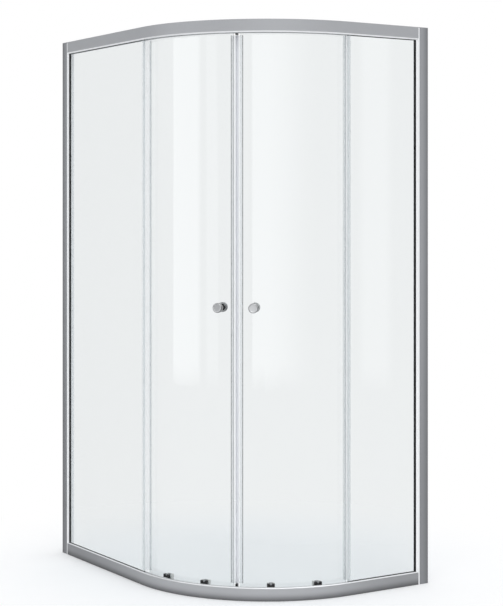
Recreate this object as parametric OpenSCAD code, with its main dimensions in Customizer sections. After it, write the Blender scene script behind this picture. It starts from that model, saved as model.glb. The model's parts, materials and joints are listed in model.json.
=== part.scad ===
// Corner shower cabin with two curved sliding doors, all lengths in millimetres.
// The floor is Z = 0 and the walls stand at the largest X and the largest Y.
// The origin is on the floor under the middle of the cabin's rectangle.
// Depth n is measured inwards from the outer face of the rails.
// Run t goes along a straight panel from the bend to the wall, and s comes back from the wall.

/* [Cabin] */
// Height of the cabin
cabin_h = 2000; // [1800:10:2100]
// Length along the short wall, over the rails
width_x = 880; // [860:5:1000]
// Length along the long wall, over the rails
depth_y = 1180; // [900:5:1400]
// Outer radius of the curved front
corner_r = 530; // [510:5:550]

/* [Rails] */
// Height of the top and bottom rails
rail_h = 46; // [46:1:60]
// Wall of the rail sections
rail_wall = 2; // [1.8:0.1:2.4]
// Thin inner ribs and lips of the rails
rib_t = 1.5; // [1.2:0.1:2]
// Depth of the groove that holds the fixed glass
groove_d = 14; // [12:1:14]
// Drop of the lower wheel track below the top edge of the bottom rail
track_drop = 6; // [4:1:6]
// Height of the lip that keeps the wheels on their track
track_lip = 3; // [2:0.5:3]

/* [Glass] */
// Thickness of every pane
glass_t = 6; // [5:0.5:7]
// Depth of the fixed glass behind the face of the rails
fixed_n = 5; // [5:0.5:6]
// Packers under and over the fixed glass
packer_t = 2; // [1.5:0.5:3]
// Length of one packer
packer_len = 60; // [30:5:80]

/* [Wall channels] */
// Visible width of the wall profile
wall_face = 37; // [34:1:45]
// Depth of the wall profile into the cabin
channel_n = 34; // [32:1:40]
// Wall of the two profiles
channel_wall = 2; // [1.8:0.1:2.2]
// Width of the bright step of the frame profile
step_w = 5.7; // [5:0.1:7]
// Length of the two legs that hold the glass
pocket_len = 9; // [8:0.5:12]
// Width of the visible black gasket
gasket_w = 5; // [3:0.5:6]
// Radius of the screw holes towards the wall
wall_hole_r = 3.25; // [2.5:0.25:3.5]
// Height of the lowest screw hole
wall_hole_low = 200; // [120:10:300]
// Height of the highest screw hole
wall_hole_high = 1800; // [1500:10:1850]

/* [Doors] */
// Way that each door rolls along its track
travel = 230; // [215:1:235]
// Angle of the rear wheels past the bend's start
rear_angle = 12; // [11:0.25:13]
// Angle of the front wheels past the bend's start
front_angle = 31.25; // [30:0.25:32]
// Overlap of each door behind its fixed glass
overlap = 12; // [10:1:14]
// Room beside the wheels for the door's swing towards the room
swing_out = 6.5; // [6.5:0.25:8]
// Room beside the wheels for the door's swing into the cabin
swing_in = 3; // [3:0.25:5]
// Width of one magnet seal
magnet_w = 21.5; // [19:0.5:26]
// Part of the magnet seal that grips the glass
magnet_grip = 10; // [8:0.5:12]

/* [Wheels] */
// Radius of the upper wheels
wheel_r = 11; // [9:0.5:12]
// Radius of the lower guide wheels
guide_r = 9; // [8:0.5:9]
// Width of every wheel
wheel_w = 5; // [4.5:0.25:6]
// Radius of the upper axles
axle_r = 4; // [3.5:0.1:4.2]
// Radius of the lower axles
pin_r = 3; // [2.6:0.1:3]
// Travel of the release buttons
press = 7; // [5:0.5:7]

/* [Knobs] */
// Radius of a knob
knob_r = 17; // [14:0.5:20]
// Length of a knob from the glass
knob_len = 29; // [20:1:30]
// Height of the knobs
knob_z = 1005; // [900:5:1100]
// Distance of the knobs from the meeting line of the doors
knob_gap = 61; // [50:1:70]

/* [Fasteners] */
// Radius of the rail screws
screw_r = 2; // [1.8:0.1:2.1]
// Length of the rail screws
screw_len = 28; // [20:1:40]
// Wall of the screw ports in the rails
port_wall = 1.6; // [1.4:0.1:1.8]

/* [Hidden] */
$fn = 48;
ARC_FN = 360;
// Gap between parts that only touch
touch = 0.05;
// Gap between a soft or separate piece and its neighbour
clear = 0.3;
// Radial clearance of an axle in its wheel
running = 0.05;
// Gap between a wheel and its track
track_gap = 0.1;

SIDES = ["left", "right"];
ENDS = ["front", "rear"];
centre = [corner_r - width_x / 2, corner_r - depth_y / 2];

// Depths, from the face of the rails inwards
flange_reach = 4;
lip_r = fixed_n - clear;
groove_n = fixed_n + glass_t + clear;
rib_n = groove_n + rib_t;
wheel_n = rib_n + clear + swing_out + wheel_w / 2;
lip_n = wheel_n + wheel_w / 2 + swing_in + clear;
track_n = lip_n + rib_t;
door_n = track_n + 2 * clear + swing_out;
door_in = door_n + glass_t;
flange_n = door_in + flange_reach;
wheel_out = wheel_n - wheel_w / 2;
wheel_in = wheel_n + wheel_w / 2;
port_r = screw_r + port_wall;
port_n = rib_n - port_r;

// Heights
groove_floor = rail_h - groove_d;
low_track = rail_h - track_drop;
top_edge = cabin_h - rail_h;
top_track = top_edge + rail_wall;
guide_z = low_track - rail_wall - track_gap - guide_r;
wheel_z = top_track + track_gap + wheel_r;
port_low = rail_wall + port_r - touch * 4;
port_high = groove_floor - rail_wall - port_r + touch * 4;
door_low = 10;
door_high = cabin_h - 8;
seal_room = 6;
seal_low = rail_h + seal_room;
seal_high = top_edge - seal_room;
edge_low = seal_low - 5;
edge_high = seal_high + 5;
drip_edge = 6;
fixed_low = groove_floor + packer_t;
fixed_high = cabin_h - groove_floor - packer_t;

// Wall channel, measured from the wall
frame_s = 10;
step_s = wall_face + clear;
web_s = step_s + step_w;
pocket_s = web_s + pocket_len;
glass_s = web_s + 2;
leg_t = channel_wall - clear;
leg_out = channel_wall + clear;
leg_in = channel_n - channel_wall - clear - leg_t;
screw_s = (frame_s + wall_face) / 2;
short_leg = 7;
gasket_out_t = 1;
gasket_in_t = 1.2;
bead_out_t = 2.2;
bead_in_t = 2.6;
bead_chamfer = 1;
pocket_out = fixed_n - gasket_out_t - 2 * touch;
pocket_in = fixed_n + glass_t + gasket_in_t + 2 * touch;
pocket_wall = 1.6;
head_t = 2.4;
tip_len = 4;
tip_r = 0.3;
cover_r = 6.5;
cover_face_r = 5.3;
cover_rim = 2.5;
cover_face_z = 4.2;
cap_round = 1.5;
tongue_z = 9;
tongue_s = 10;
fasten_n = channel_n - leg_in + clear;

// Doors
tip_gap = 0.2;
stop_w = 8;
stop_proud = 4;
end_stop_len = 9;
end_stop_over = 5;
end_stop_step = 3;
block_w = 27;
block_top = 54;
block_low = 12;
block_n = 13.4;
clamp_t = 9.5;
clamp_low = low_track + 1.5;
clamp_t_off = 10;
clamp_z = (clamp_low + block_top) / 2;
button_w = 13;
button_n = 8;
button_side = 2;
button_play = 0.2;
slider_floor = 2;
grip_proud = 1.5;
guide_collar = 1.6;
spring_bore_r = 3;
spring_r = 2.2;
spring_wire = 0.7;
spring_len = 20;
spring_turns = 7;
body_low = block_low + slider_floor + press + 1;
axle_hole_r = 7;
guide_hole_r = 7;
stud_r = 4;
knob_bore = 12;
knob_round = 1.5;
knob_head_z = 11;
knob_foot_z = 3.5;
knob_foot_w = 3.3;
knob_waist = 2;
stud_hole_r = 6.2;
washer_t = 1;
washer_r = 12.5;
cap_r = 9.5;
shoulder_r = 6;
collar_r = 8;
collar_t = 3;
thread_r = 3;
thread_len = 8;
screw_bore_r = 1.55;
small_screw_r = 1.5;
small_screw_len = 8;
nut_rim = 5;
nut_dome = 2.5;
nut_z = 8.5;
wheel_edge = 0.6;
hub_w = 2.2;
hub_step = 0.5;
seal_wall = 1.2;
edge_grip = 12;
fin_bead_r = 0.72;
chamber_wall = 0.8;
magnet_bar_w = 4;
lip_gap = 1.8;
recess = 1.3;

function deg_of(len, n) = len / (corner_r - n) * 180 / PI;
function panel_len(side) = side == "left" ? depth_y - corner_r : width_x - corner_r;
function hole_height(i) = wall_hole_low + (wall_hole_high - wall_hole_low) * i / 3;
// How far the curved inner face of a door rises at half a width beside a flat piece
function sag(half) = corner_r - door_in - sqrt(pow(corner_r - door_in, 2) - half * half);
function wheel_angle(end) = end == "front" ? front_angle : rear_angle;

tip_deg = 45 - deg_of(tip_gap, door_n);
pane_deg = 45 - deg_of(tip_gap + magnet_w - magnet_grip, door_n);
grip_deg = 45 - deg_of(tip_gap + magnet_w, door_n);
rear_deg = -deg_of(overlap, door_n);
knob_deg = 45 - deg_of(knob_gap, door_n);

// A door turns about one upright line, its pole, which is where the move of its two wheels
// from the closed place to the open place on the track has its centre.
rho = corner_r - wheel_n;
chord = 2 * rho * sin((front_angle - rear_angle) / 2);
rear_run = travel - rho * rear_angle * PI / 180;
keep = chord * chord - rear_run * rear_run;
lead = 4 * rho * rho - keep;
half_tan = (-4 * rear_run * rho + sqrt(16 * rear_run * rear_run * rho * rho + 4 * lead * keep)) / (2 * lead);
front_open = 2 * atan(half_tan);
front_shut = [-rho * cos(front_angle), -rho * sin(front_angle)];
rear_shut = [-rho * cos(rear_angle), -rho * sin(rear_angle)];
front_end = [-rho * cos(front_open), -rho * sin(front_open)];
rear_end = [-rho, rear_run];
shut_dir = front_shut - rear_shut;
open_dir = front_end - rear_end;
swing = atan2(shut_dir[1], shut_dir[0]) - atan2(open_dir[1], open_dir[0]);
rear_move = rear_end - rear_shut;
pole = (rear_end + rear_shut) / 2 + [rear_move[1], -rear_move[0]] / (2 * tan(swing / 2));
echo(pole_left = centre + pole, pole_right = centre + [pole[1], pole[0]], swing = swing);
echo(centre = centre, wheel_n = wheel_n, door_n = door_n, track_n = track_n, flange_n = flange_n);
echo(wheel_z = wheel_z, guide_z = guide_z);
echo(front_radius = norm(front_shut - pole), rear_radius = norm(rear_shut - pole));

// Puts a piece of the left half in place, or its mirror image in the right half
module on_side(side) {
    translate([centre[0], centre[1], 0])
        if (side == "right") mirror([1, -1, 0]) children();
        else children();
}

// A flat outline in depth n and run t, raised between two heights
module upright(side, low, high) {
    on_side(side) translate([-corner_r, 0, low]) linear_extrude(high - low) children();
}

// The same for an outline in depth n and distance s from the wall
module upright_at_wall(side, low, high) {
    upright(side, low, high) translate([0, panel_len(side)]) mirror([0, 1]) children();
}

// A bar along the curve between two angles, two depths and two heights
module arc_bar(from, to, out, in, low, high) {
    rotate([0, 0, 180 + from]) rotate_extrude(angle = to - from, $fn = ARC_FN)
        translate([corner_r - in, low]) square([in - out, high - low]);
}

// A place on the curve: local X runs inwards, local Y towards the fixed glass
module on_arc(angle, n, z) {
    rotate([0, 0, angle]) translate([n - corner_r, 0, z]) children();
}

// A round bar that runs inwards from depth n
module spindle(r, len) {
    rotate([0, 90, 0]) cylinder(r = r, h = len);
}

// A box from one corner to the other
module block(low, high) {
    translate(low) cube(high - low);
}

// Rails: the section is drawn in depth n and height z

module quarter_lip(z, up) {
    translate([lip_r, z]) intersection() {
        difference() {
            circle(lip_r);
            circle(lip_r - rail_wall);
        }
        translate([-lip_r, up ? 0 : -lip_r]) square(lip_r);
    }
}

module port(z) {
    translate([port_n, z]) difference() {
        circle(port_r);
        circle(screw_r + running);
    }
}

module bottom_section() {
    square([rail_wall, rail_h - lip_r]);
    quarter_lip(rail_h - lip_r, true);
    square([flange_n, rail_wall]);
    translate([0, groove_floor - rail_wall]) square([rib_n, rail_wall]);
    translate([groove_n, groove_floor - rail_wall]) square([rib_t, groove_d + rail_wall]);
    translate([groove_n, low_track - rail_wall]) square([track_n - groove_n, rail_wall]);
    translate([lip_n, low_track - rail_wall - track_lip]) square([rib_t, rail_wall + track_lip]);
    port(port_low);
    port(port_high);
}

module top_section() {
    translate([0, top_edge + lip_r]) square([rail_wall, rail_h - lip_r]);
    quarter_lip(top_edge + lip_r, false);
    translate([0, cabin_h - rail_wall]) square([flange_n, rail_wall]);
    translate([flange_n - rib_t, cabin_h - drip_edge]) square([rib_t, drip_edge]);
    translate([0, cabin_h - groove_floor]) square([rib_n, rail_wall]);
    translate([groove_n, top_edge]) square([rib_t, groove_d + rail_wall]);
    translate([groove_n, top_edge]) square([track_n - groove_n, rail_wall]);
    translate([lip_n, top_edge]) square([rib_t, rail_wall + track_lip]);
    port(cabin_h - port_low);
    port(cabin_h - port_high);
}

// One bent rail: a straight run on each side and a quarter turn between them
module rail() {
    for (side = SIDES)
        on_side(side) translate([-corner_r, panel_len(side) - web_s - touch, 0]) rotate([90, 0, 0])
            linear_extrude(panel_len(side) - web_s - touch) children();
    translate([centre[0], centre[1], 0]) rotate([0, 0, 180])
        rotate_extrude(angle = 90, $fn = ARC_FN) translate([corner_r, 0]) mirror([1, 0]) children();
}

module top_rail() {
    color("silver") rail() top_section();
}

module bottom_rail() {
    color("silver") rail() bottom_section();
}

// Wall channels

module wall_profile(side) {
    color("gray") difference() {
        upright_at_wall(side, 0, cabin_h - channel_wall) {
            square([channel_n, channel_wall]);
            square([channel_wall, wall_face - channel_wall / 2]);
            translate([channel_wall / 2, wall_face - channel_wall / 2]) circle(channel_wall / 2);
            translate([channel_n - channel_wall, 0]) square([channel_wall, wall_face - short_leg]);
        }
        on_side(side) for (i = [0:3])
            translate([channel_n / 2 - corner_r, panel_len(side) + 1, hole_height(i)])
                rotate([90, 0, 0]) cylinder(r = wall_hole_r, h = channel_wall + 2);
        adjustment_places(side) spindle(screw_r + clear, channel_n);
    }
}

// Places of the screws that fix the frame profile in the wall profile
module adjustment_places(side) {
    heights = [for (i = [0:2]) cabin_h * (1 + 3 * i) / 8];
    on_side(side) for (z = heights)
        translate([leg_in - clear - corner_r, panel_len(side) - screw_s, z]) children();
}

// Places of the screws that hold the rails' ends
module rail_screw_places(side) {
    for (z = [port_low, port_high, cabin_h - port_high, cabin_h - port_low])
        on_side(side) translate([port_n - corner_r, panel_len(side) - web_s, z])
            rotate([90, 0, 0]) children();
}

module frame_profile(side) {
    step_r = step_w / 4;
    color("gainsboro") difference() {
        union() {
            upright_at_wall(side, 0, cabin_h - channel_wall) {
                translate([leg_out, frame_s]) square([leg_t, web_s - frame_s]);
                translate([leg_in, frame_s]) square([leg_t, web_s - frame_s]);
                translate([leg_out, web_s - channel_wall]) square([leg_in - leg_out, channel_wall]);
                translate([step_r, step_s]) square([leg_out + leg_t - step_r, step_w]);
                translate([0, step_s + step_r]) square([step_r, step_w - 2 * step_r]);
                translate([step_r, step_s + step_r]) circle(step_r);
                translate([step_r, web_s - step_r]) circle(step_r);
            }
            upright_at_wall(side, rail_h + clear, top_edge - clear) {
                translate([leg_out, web_s - touch]) square([pocket_out - leg_out, pocket_len + touch]);
                translate([pocket_in, web_s - touch]) square([pocket_wall, pocket_len + touch]);
            }
        }
        rail_screw_places(side) translate([0, 0, -channel_wall - 1])
            cylinder(r = screw_r + clear / 2, h = channel_wall + 2);
        adjustment_places(side) spindle(screw_r + running, leg_t + 2 * clear);
    }
}

module fixed_glass(side) {
    run = panel_len(side) - glass_s;
    color("lightcyan", 0.4) upright(side, fixed_low, fixed_high)
        translate([fixed_n, 0]) square([glass_t, run]);
}

// Black wedge gaskets on both faces of the fixed glass
module gasket_outline() {
    outer = fixed_n - touch;
    inner = fixed_n + glass_t + touch;
    bead_w = gasket_w - touch - bead_chamfer;
    translate([outer - gasket_out_t, glass_s]) square([gasket_out_t, pocket_s + gasket_w - glass_s]);
    translate([outer - bead_out_t, pocket_s + touch]) square([bead_out_t, bead_w]);
    translate([inner, glass_s]) square([gasket_in_t, pocket_s + gasket_w - glass_s]);
    translate([inner, pocket_s + touch]) square([bead_in_t, bead_w]);
}

module glass_gaskets() {
    color("dimgray") for (side = SIDES)
        upright_at_wall(side, rail_h + clear, top_edge - clear) gasket_outline();
}

// Clear profile on the free edge of the fixed glass, with a fin towards the door
module edge_seals() {
    out = fixed_n - touch - seal_wall;
    in = fixed_n + glass_t + touch + seal_wall;
    fin_n = door_n - swing_out - seal_wall - lip_gap - 2 * clear;
    fin_low = block_top + lip_gap;
    color("whitesmoke") for (side = SIDES) {
        upright(side, edge_low, edge_high) {
            translate([out, -seal_wall - touch]) square([in - out, seal_wall]);
            for (n = [out, in - seal_wall])
                translate([n, -seal_wall - touch]) square([seal_wall, edge_grip]);
        }
        upright(side, fin_low, edge_high) {
            translate([in - seal_wall, -seal_wall - touch]) square([fin_n - in, seal_wall]);
            translate([fin_n - seal_wall, -touch - seal_wall / 2]) circle(fin_bead_r);
        }
    }
}

// Small blocks that carry the fixed glass in its grooves
module glass_packers() {
    color("dimgray") for (side = SIDES) {
        run = panel_len(side) - glass_s;
        for (start = [run * 0.15, run * 0.85 - packer_len]) {
            upright(side, groove_floor, fixed_low) translate([fixed_n, start]) square([glass_t, packer_len]);
            upright(side, fixed_high, cabin_h - groove_floor)
                translate([fixed_n, start]) square([glass_t, packer_len]);
        }
    }
}

module rail_screws() {
    color("lightgray") for (side = SIDES)
        rail_screw_places(side) {
            translate([0, 0, -channel_wall - head_t - touch])
                cylinder(r = port_low - 2 * touch - channel_wall, h = head_t);
            translate([0, 0, -channel_wall - 1]) cylinder(r = screw_r, h = screw_len - tip_len + 1);
            translate([0, 0, screw_len - channel_wall - tip_len])
                cylinder(r1 = screw_r, r2 = tip_r, h = tip_len);
        }
}

module adjustment_screws() {
    color("lightgray") for (side = SIDES)
        adjustment_places(side) {
            spindle(screw_r, fasten_n + 1);
            translate([fasten_n + touch, 0, 0]) spindle(2 * screw_r, cover_rim - clear - touch);
        }
}

// Grey covers over the heads of the adjustment screws
module screw_caps() {
    color("gainsboro") for (side = SIDES)
        adjustment_places(side) difference() {
            union() {
                translate([fasten_n + touch, 0, 0]) spindle(cover_r, cover_rim);
                translate([fasten_n + cover_rim - touch, 0, 0]) rotate([0, 90, 0])
                    cylinder(r1 = cover_r, r2 = cover_face_r, h = cover_face_z - cover_rim);
            }
            translate([fasten_n, 0, 0]) spindle(2 * screw_r + touch, cover_rim - clear + touch);
        }
}

// Caps that close the tops of the wall channels
module profile_caps() {
    color("gray") for (side = SIDES) {
        upright_at_wall(side, cabin_h - channel_wall, cabin_h) {
            square([channel_n, wall_face]);
            translate([cap_round, wall_face]) square([leg_in - cap_round, web_s - wall_face]);
            translate([0, wall_face]) square([cap_round, web_s - wall_face - cap_round]);
            translate([cap_round, web_s - cap_round]) circle(cap_round);
        }
        upright_at_wall(side, cabin_h - channel_wall - tongue_z, cabin_h - channel_wall)
            translate([leg_out + leg_t + clear, channel_wall + clear])
                square([leg_in - leg_out - leg_t - 2 * clear, frame_s + tongue_s]);
    }
}

// Black blocks between the closed doors, one on each rail
module centre_stops() {
    half = deg_of(stop_w / 2, door_n);
    color("dimgray") translate([centre[0], centre[1], 0])
        for (span = [[rail_wall, rail_h + stop_proud], [top_edge - stop_proud, cabin_h - rail_wall]])
            arc_bar(45 - half, 45 + half, track_n + clear, flange_n - rib_t - clear, span[0], span[1]);
}

// Blocks on the upper track that stop the rear wheels when a door is open
module end_stops() {
    start = rear_run + wheel_r + clear;
    color("dimgray") for (side = SIDES)
        upright(side, top_track, top_track + wheel_r + end_stop_over) {
            translate([rib_n + touch, start]) square([lip_n - rib_n - 2 * touch, end_stop_len]);
            translate([rib_n + end_stop_step, start + end_stop_len / 2])
                square([lip_n - rib_n - 2 * end_stop_step, end_stop_len]);
        }
}

// Doors

module door_glass(side) {
    color("lightcyan", 0.4) on_side(side) difference() {
        arc_bar(rear_deg, pane_deg, door_n, door_in, door_low, door_high);
        on_arc(knob_deg, door_n - 1, knob_z) spindle(stud_hole_r, glass_t + 2);
        for (end = ENDS) {
            on_arc(wheel_angle(end), door_n - 1, wheel_z) spindle(axle_hole_r, glass_t + 2);
            on_arc(wheel_angle(end), door_n - 1, guide_z - press / 2) spindle(guide_hole_r, glass_t + 2);
            for (across = [-clamp_t_off, clamp_t_off])
                on_arc(wheel_angle(end), door_n - 1, clamp_z) translate([0, across, 0])
                    spindle(screw_r + 1, glass_t + 2);
        }
    }
}

// Clear profile along the front edge of a door, with a chamber for the magnet
module magnet_profile(side) {
    out = door_n - touch - seal_wall;
    in = door_in + touch + seal_wall;
    back = pane_deg + deg_of(touch, door_n);
    chamber = back + deg_of(seal_wall, door_n);
    color("whitesmoke") on_side(side) difference() {
        arc_bar(grip_deg, tip_deg, out, in, seal_low, seal_high);
        arc_bar(grip_deg - 1, back, door_n - touch, door_in + touch, seal_low - 1, seal_high + 1);
        arc_bar(chamber, tip_deg - deg_of(chamber_wall, door_n), out + seal_wall, in - seal_wall,
            seal_low - 1, seal_high + 1);
    }
}

module magnet_strip(side) {
    front = tip_deg - deg_of(chamber_wall + touch, door_n);
    color("slategray") on_side(side)
        arc_bar(front - deg_of(magnet_bar_w, door_n), front, door_n + touch, door_in - touch,
            seal_low, seal_high);
}

// Clear profile along the rear edge of a door, with a lip towards the fixed glass
module rear_seal(side) {
    out = door_n - touch - seal_wall;
    in = door_in + touch + seal_wall;
    edge = rear_deg - deg_of(touch, door_n);
    lip_end = fixed_n + glass_t + seal_wall + lip_gap;
    color("whitesmoke") on_side(side) {
        difference() {
            arc_bar(edge - deg_of(seal_wall, door_n), rear_deg + deg_of(magnet_grip, door_n),
                out, in, edge_low, edge_high);
            arc_bar(edge, rear_deg + deg_of(magnet_grip, door_n) + 1, door_n - touch, door_in + touch,
                edge_low - 1, edge_high + 1);
        }
        arc_bar(edge - deg_of(seal_wall, door_n), edge, lip_end, out + seal_wall / 2,
            edge_low, edge_high);
    }
}

// Outline of a knob: radius across, distance from the glass upwards
module knob_outline() {
    foot_r = stud_hole_r + knob_foot_w;
    head_z = knob_len - knob_head_z - washer_t;
    square([foot_r, knob_foot_z]);
    square([foot_r - knob_waist, knob_head_z + 1]);
    translate([0, knob_head_z]) square([knob_r - knob_round, head_z]);
    translate([0, knob_head_z + knob_round]) square([knob_r, head_z - 2 * knob_round]);
    for (z = [knob_head_z + knob_round, knob_head_z + head_z - knob_round])
        translate([knob_r - knob_round, z]) circle(knob_round);
}

module knob() {
    color("lightgray") difference() {
        rotate_extrude() knob_outline();
        translate([0, 0, -1]) cylinder(r = stud_r + running, h = knob_bore + 1);
    }
}

module knob_outer(side) {
    on_side(side) on_arc(knob_deg, door_n - washer_t - touch, knob_z) rotate([0, -90, 0]) knob();
}

module knob_inner(side) {
    on_side(side) on_arc(knob_deg, door_in + sag(washer_r) + washer_t + touch, knob_z)
        rotate([0, 90, 0]) knob();
}

module knob_stud(side) {
    reach = knob_bore - 1 + washer_t;
    color("lightgray") on_side(side)
        on_arc(knob_deg, door_n - reach, knob_z) spindle(stud_r, glass_t + 2 * reach);
}

module knob_washers(side) {
    color("dimgray") on_side(side) on_arc(knob_deg, 0, knob_z) difference() {
        union() {
            translate([door_n - washer_t - touch / 2, 0, 0]) spindle(washer_r, washer_t);
            translate([door_in + sag(washer_r) + touch / 2, 0, 0]) spindle(washer_r, washer_t);
            translate([door_n + clear, 0, 0]) spindle(stud_hole_r - touch, glass_t - 2 * clear);
        }
        spindle(stud_r + running, door_in + 5);
    }
}

// Stepped axle of an upper wheel, which is clamped in the glass
module roller_axles(side) {
    start = wheel_out + recess - touch;
    color("lightgray") on_side(side) for (end = ENDS)
        on_arc(wheel_angle(end), 0, wheel_z) difference() {
            union() {
                translate([start, 0, 0]) spindle(axle_r, wheel_in + 1 - start);
                translate([wheel_in + touch * 2, 0, 0])
                    spindle(shoulder_r, door_n - collar_t - wheel_in);
                translate([door_n - collar_t, 0, 0]) spindle(collar_r, collar_t - touch);
                translate([door_n - 1, 0, 0]) spindle(axle_hole_r - 0.1, glass_t + 0.8);
                translate([door_in - 1, 0, 0]) spindle(thread_r, thread_len);
            }
            translate([start - 1, 0, 0]) spindle(screw_bore_r, small_screw_len + 1);
        }
}

module roller_screws(side) {
    head = wheel_out + touch;
    color("lightgray") on_side(side) for (end = ENDS)
        on_arc(wheel_angle(end), 0, wheel_z) {
            translate([head, 0, 0]) spindle(axle_r + 1.4, recess - 3 * touch);
            translate([head + 0.5, 0, 0]) spindle(small_screw_r, small_screw_len);
        }
}

// Domed nuts on the inner side of the glass
module roller_caps(side) {
    color("lightgray") on_side(side) for (end = ENDS)
        on_arc(wheel_angle(end), door_in + sag(cap_r) + touch, wheel_z) difference() {
            union() {
                spindle(cap_r, nut_rim);
                rotate([0, 90, 0]) cylinder(r1 = cap_r, r2 = cap_r - nut_dome, h = nut_z);
            }
            translate([-1, 0, 0]) spindle(thread_r + running, thread_len + clear);
        }
}

// Outline of a wheel: radius across, width upwards
module wheel_outline(r, bore) {
    hub = bore + hub_w;
    polygon([
        [bore, recess], [hub, recess], [hub, 0], [r - wheel_edge, 0], [r, wheel_edge],
        [r, wheel_w - wheel_edge], [r - wheel_edge, wheel_w], [hub + 1, wheel_w],
        [hub + 0.2, wheel_w - hub_step], [bore, wheel_w - hub_step]
    ]);
}

module wheel(r, bore) {
    rotate([0, 90, 0]) rotate_extrude() wheel_outline(r, bore);
}

module top_wheel(side, end) {
    color("white") on_side(side) on_arc(wheel_angle(end), wheel_out, wheel_z)
        wheel(wheel_r, axle_r + running);
}

module guide_wheel(side, end) {
    color("white") on_side(side) on_arc(wheel_angle(end), wheel_out, guide_z) wheel(guide_r, pin_r + running);
}

// White housing on the inner face of the glass that guides a release slider
module guide_blocks(side) {
    low = [sag(block_w / 2) + touch, -block_w / 2, block_low];
    high = [block_n, block_w / 2, block_top];
    half = button_w / 2 + button_play;
    slot_half = pin_r + button_play;
    slot_low = guide_z - press - pin_r - 1;
    color("whitesmoke") on_side(side) for (end = ENDS)
        on_arc(wheel_angle(end), door_in, 0) difference() {
            block(low, high);
            block([button_side - button_play, -half, block_low + slider_floor],
                [button_side + button_n + button_play, half, block_top + 1]);
            block([button_side + button_n - 1, -button_w / 4, guide_z],
                [block_n + 1, button_w / 4, block_top + 1]);
            block([-1, -slot_half, slot_low], [button_side + 1, slot_half, block_top + 1]);
            for (across = [-clamp_t_off, clamp_t_off])
                translate([-1, across, clamp_z]) spindle(screw_r + running, block_n - 2);
        }
}

// Black block on the outer face of the glass with two studs into the housing
module guide_clamps(side) {
    color("dimgray") on_side(side) for (end = ENDS)
        on_arc(wheel_angle(end), 0, 0) {
            block([door_n - clamp_t, -block_w / 2, clamp_low], [door_n - 2 * touch, block_w / 2, block_top]);
            for (across = [-clamp_t_off, clamp_t_off])
                translate([door_n - 1, across, clamp_z]) spindle(screw_r, glass_t + block_n - 4);
        }
}

// Push button with the axle of the lower wheel: pressed down, it frees the wheel from the track
module release_slider(side, end) {
    grip_half = button_w / 4 - clear;
    color("gray") on_side(side) on_arc(wheel_angle(end), 0, 0) difference() {
        union() {
            block([door_in + button_side, -button_w / 2, body_low],
                [door_in + button_side + button_n, button_w / 2, block_top]);
            block([door_in + button_side + 1, -grip_half, guide_z + press + pin_r],
                [door_in + block_n + grip_proud, grip_half, block_top - slider_floor]);
            translate([wheel_out + 3 * touch, 0, guide_z])
                spindle(pin_r + guide_collar, recess - 5 * touch);
            translate([wheel_out + 0.5, 0, guide_z]) spindle(pin_r, door_in + button_side + 1 - wheel_out);
        }
        translate([door_in + button_side + button_n / 2, 0, block_low])
            cylinder(r = spring_bore_r, h = spring_len + slider_floor);
    }
}

// A coil spring as one tube that winds up its own axis
module coil(radius, wire, length, turns) {
    sides = 6;
    per_turn = 12;
    steps = turns * per_turn;
    points = [for (i = [0:steps]) let (a = i * 360 / per_turn, z = wire / 2 + (length - wire) * i / steps)
        for (k = [0:sides - 1]) let (c = k * 360 / sides, r = radius + wire / 2 * cos(c))
            [r * cos(a), r * sin(a), z + wire / 2 * sin(c)]];
    walls = [for (i = [0:steps - 1], k = [0:sides - 1])
        let (a = i * sides + k, b = i * sides + (k + 1) % sides)
            for (face = [[a, b + sides, b], [a, a + sides, b + sides]]) face];
    start = [for (k = [1:sides - 2]) [0, k, k + 1]];
    last = steps * sides;
    end = [for (k = [1:sides - 2]) [last, last + k + 1, last + k]];
    polyhedron(points, concat(walls, start, end));
}

module spring(side, end) {
    color("lightgray") on_side(side)
        on_arc(wheel_angle(end), door_in + button_side + button_n / 2, block_low + slider_floor + touch)
            coil(spring_r, spring_wire, spring_len - 2 * touch, spring_turns);
}

wall_profile("left");  // wall_profile_left
wall_profile("right");  // wall_profile_right
frame_profile("left");  // frame_profile_left
frame_profile("right");  // frame_profile_right
top_rail();
bottom_rail();
fixed_glass("left");  // fixed_glass_left
fixed_glass("right");  // fixed_glass_right
glass_gaskets();
edge_seals();
glass_packers();
rail_screws();
adjustment_screws();
screw_caps();
profile_caps();
centre_stops();
end_stops();
door_glass("left");  // door_glass_left
magnet_profile("left");  // magnet_profile_left
magnet_strip("left");  // magnet_strip_left
rear_seal("left");  // rear_seal_left
knob_outer("left");  // knob_outer_left
knob_inner("left");  // knob_inner_left
knob_stud("left");  // knob_stud_left
knob_washers("left");  // knob_washers_left
roller_axles("left");  // roller_axles_left
roller_screws("left");  // roller_screws_left
roller_caps("left");  // roller_caps_left
guide_blocks("left");  // guide_blocks_left
guide_clamps("left");  // guide_clamps_left
top_wheel("left", "front");  // top_wheel_left_front
top_wheel("left", "rear");  // top_wheel_left_rear
guide_wheel("left", "front");  // guide_wheel_left_front
guide_wheel("left", "rear");  // guide_wheel_left_rear
release_slider("left", "front");  // release_slider_left_front
release_slider("left", "rear");  // release_slider_left_rear
spring("left", "front");  // spring_left_front
spring("left", "rear");  // spring_left_rear
door_glass("right");  // door_glass_right
magnet_profile("right");  // magnet_profile_right
magnet_strip("right");  // magnet_strip_right
rear_seal("right");  // rear_seal_right
knob_outer("right");  // knob_outer_right
knob_inner("right");  // knob_inner_right
knob_stud("right");  // knob_stud_right
knob_washers("right");  // knob_washers_right
roller_axles("right");  // roller_axles_right
roller_screws("right");  // roller_screws_right
roller_caps("right");  // roller_caps_right
guide_blocks("right");  // guide_blocks_right
guide_clamps("right");  // guide_clamps_right
top_wheel("right", "front");  // top_wheel_right_front
top_wheel("right", "rear");  // top_wheel_right_rear
guide_wheel("right", "front");  // guide_wheel_right_front
guide_wheel("right", "rear");  // guide_wheel_right_rear
release_slider("right", "front");  // release_slider_right_front
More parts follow.
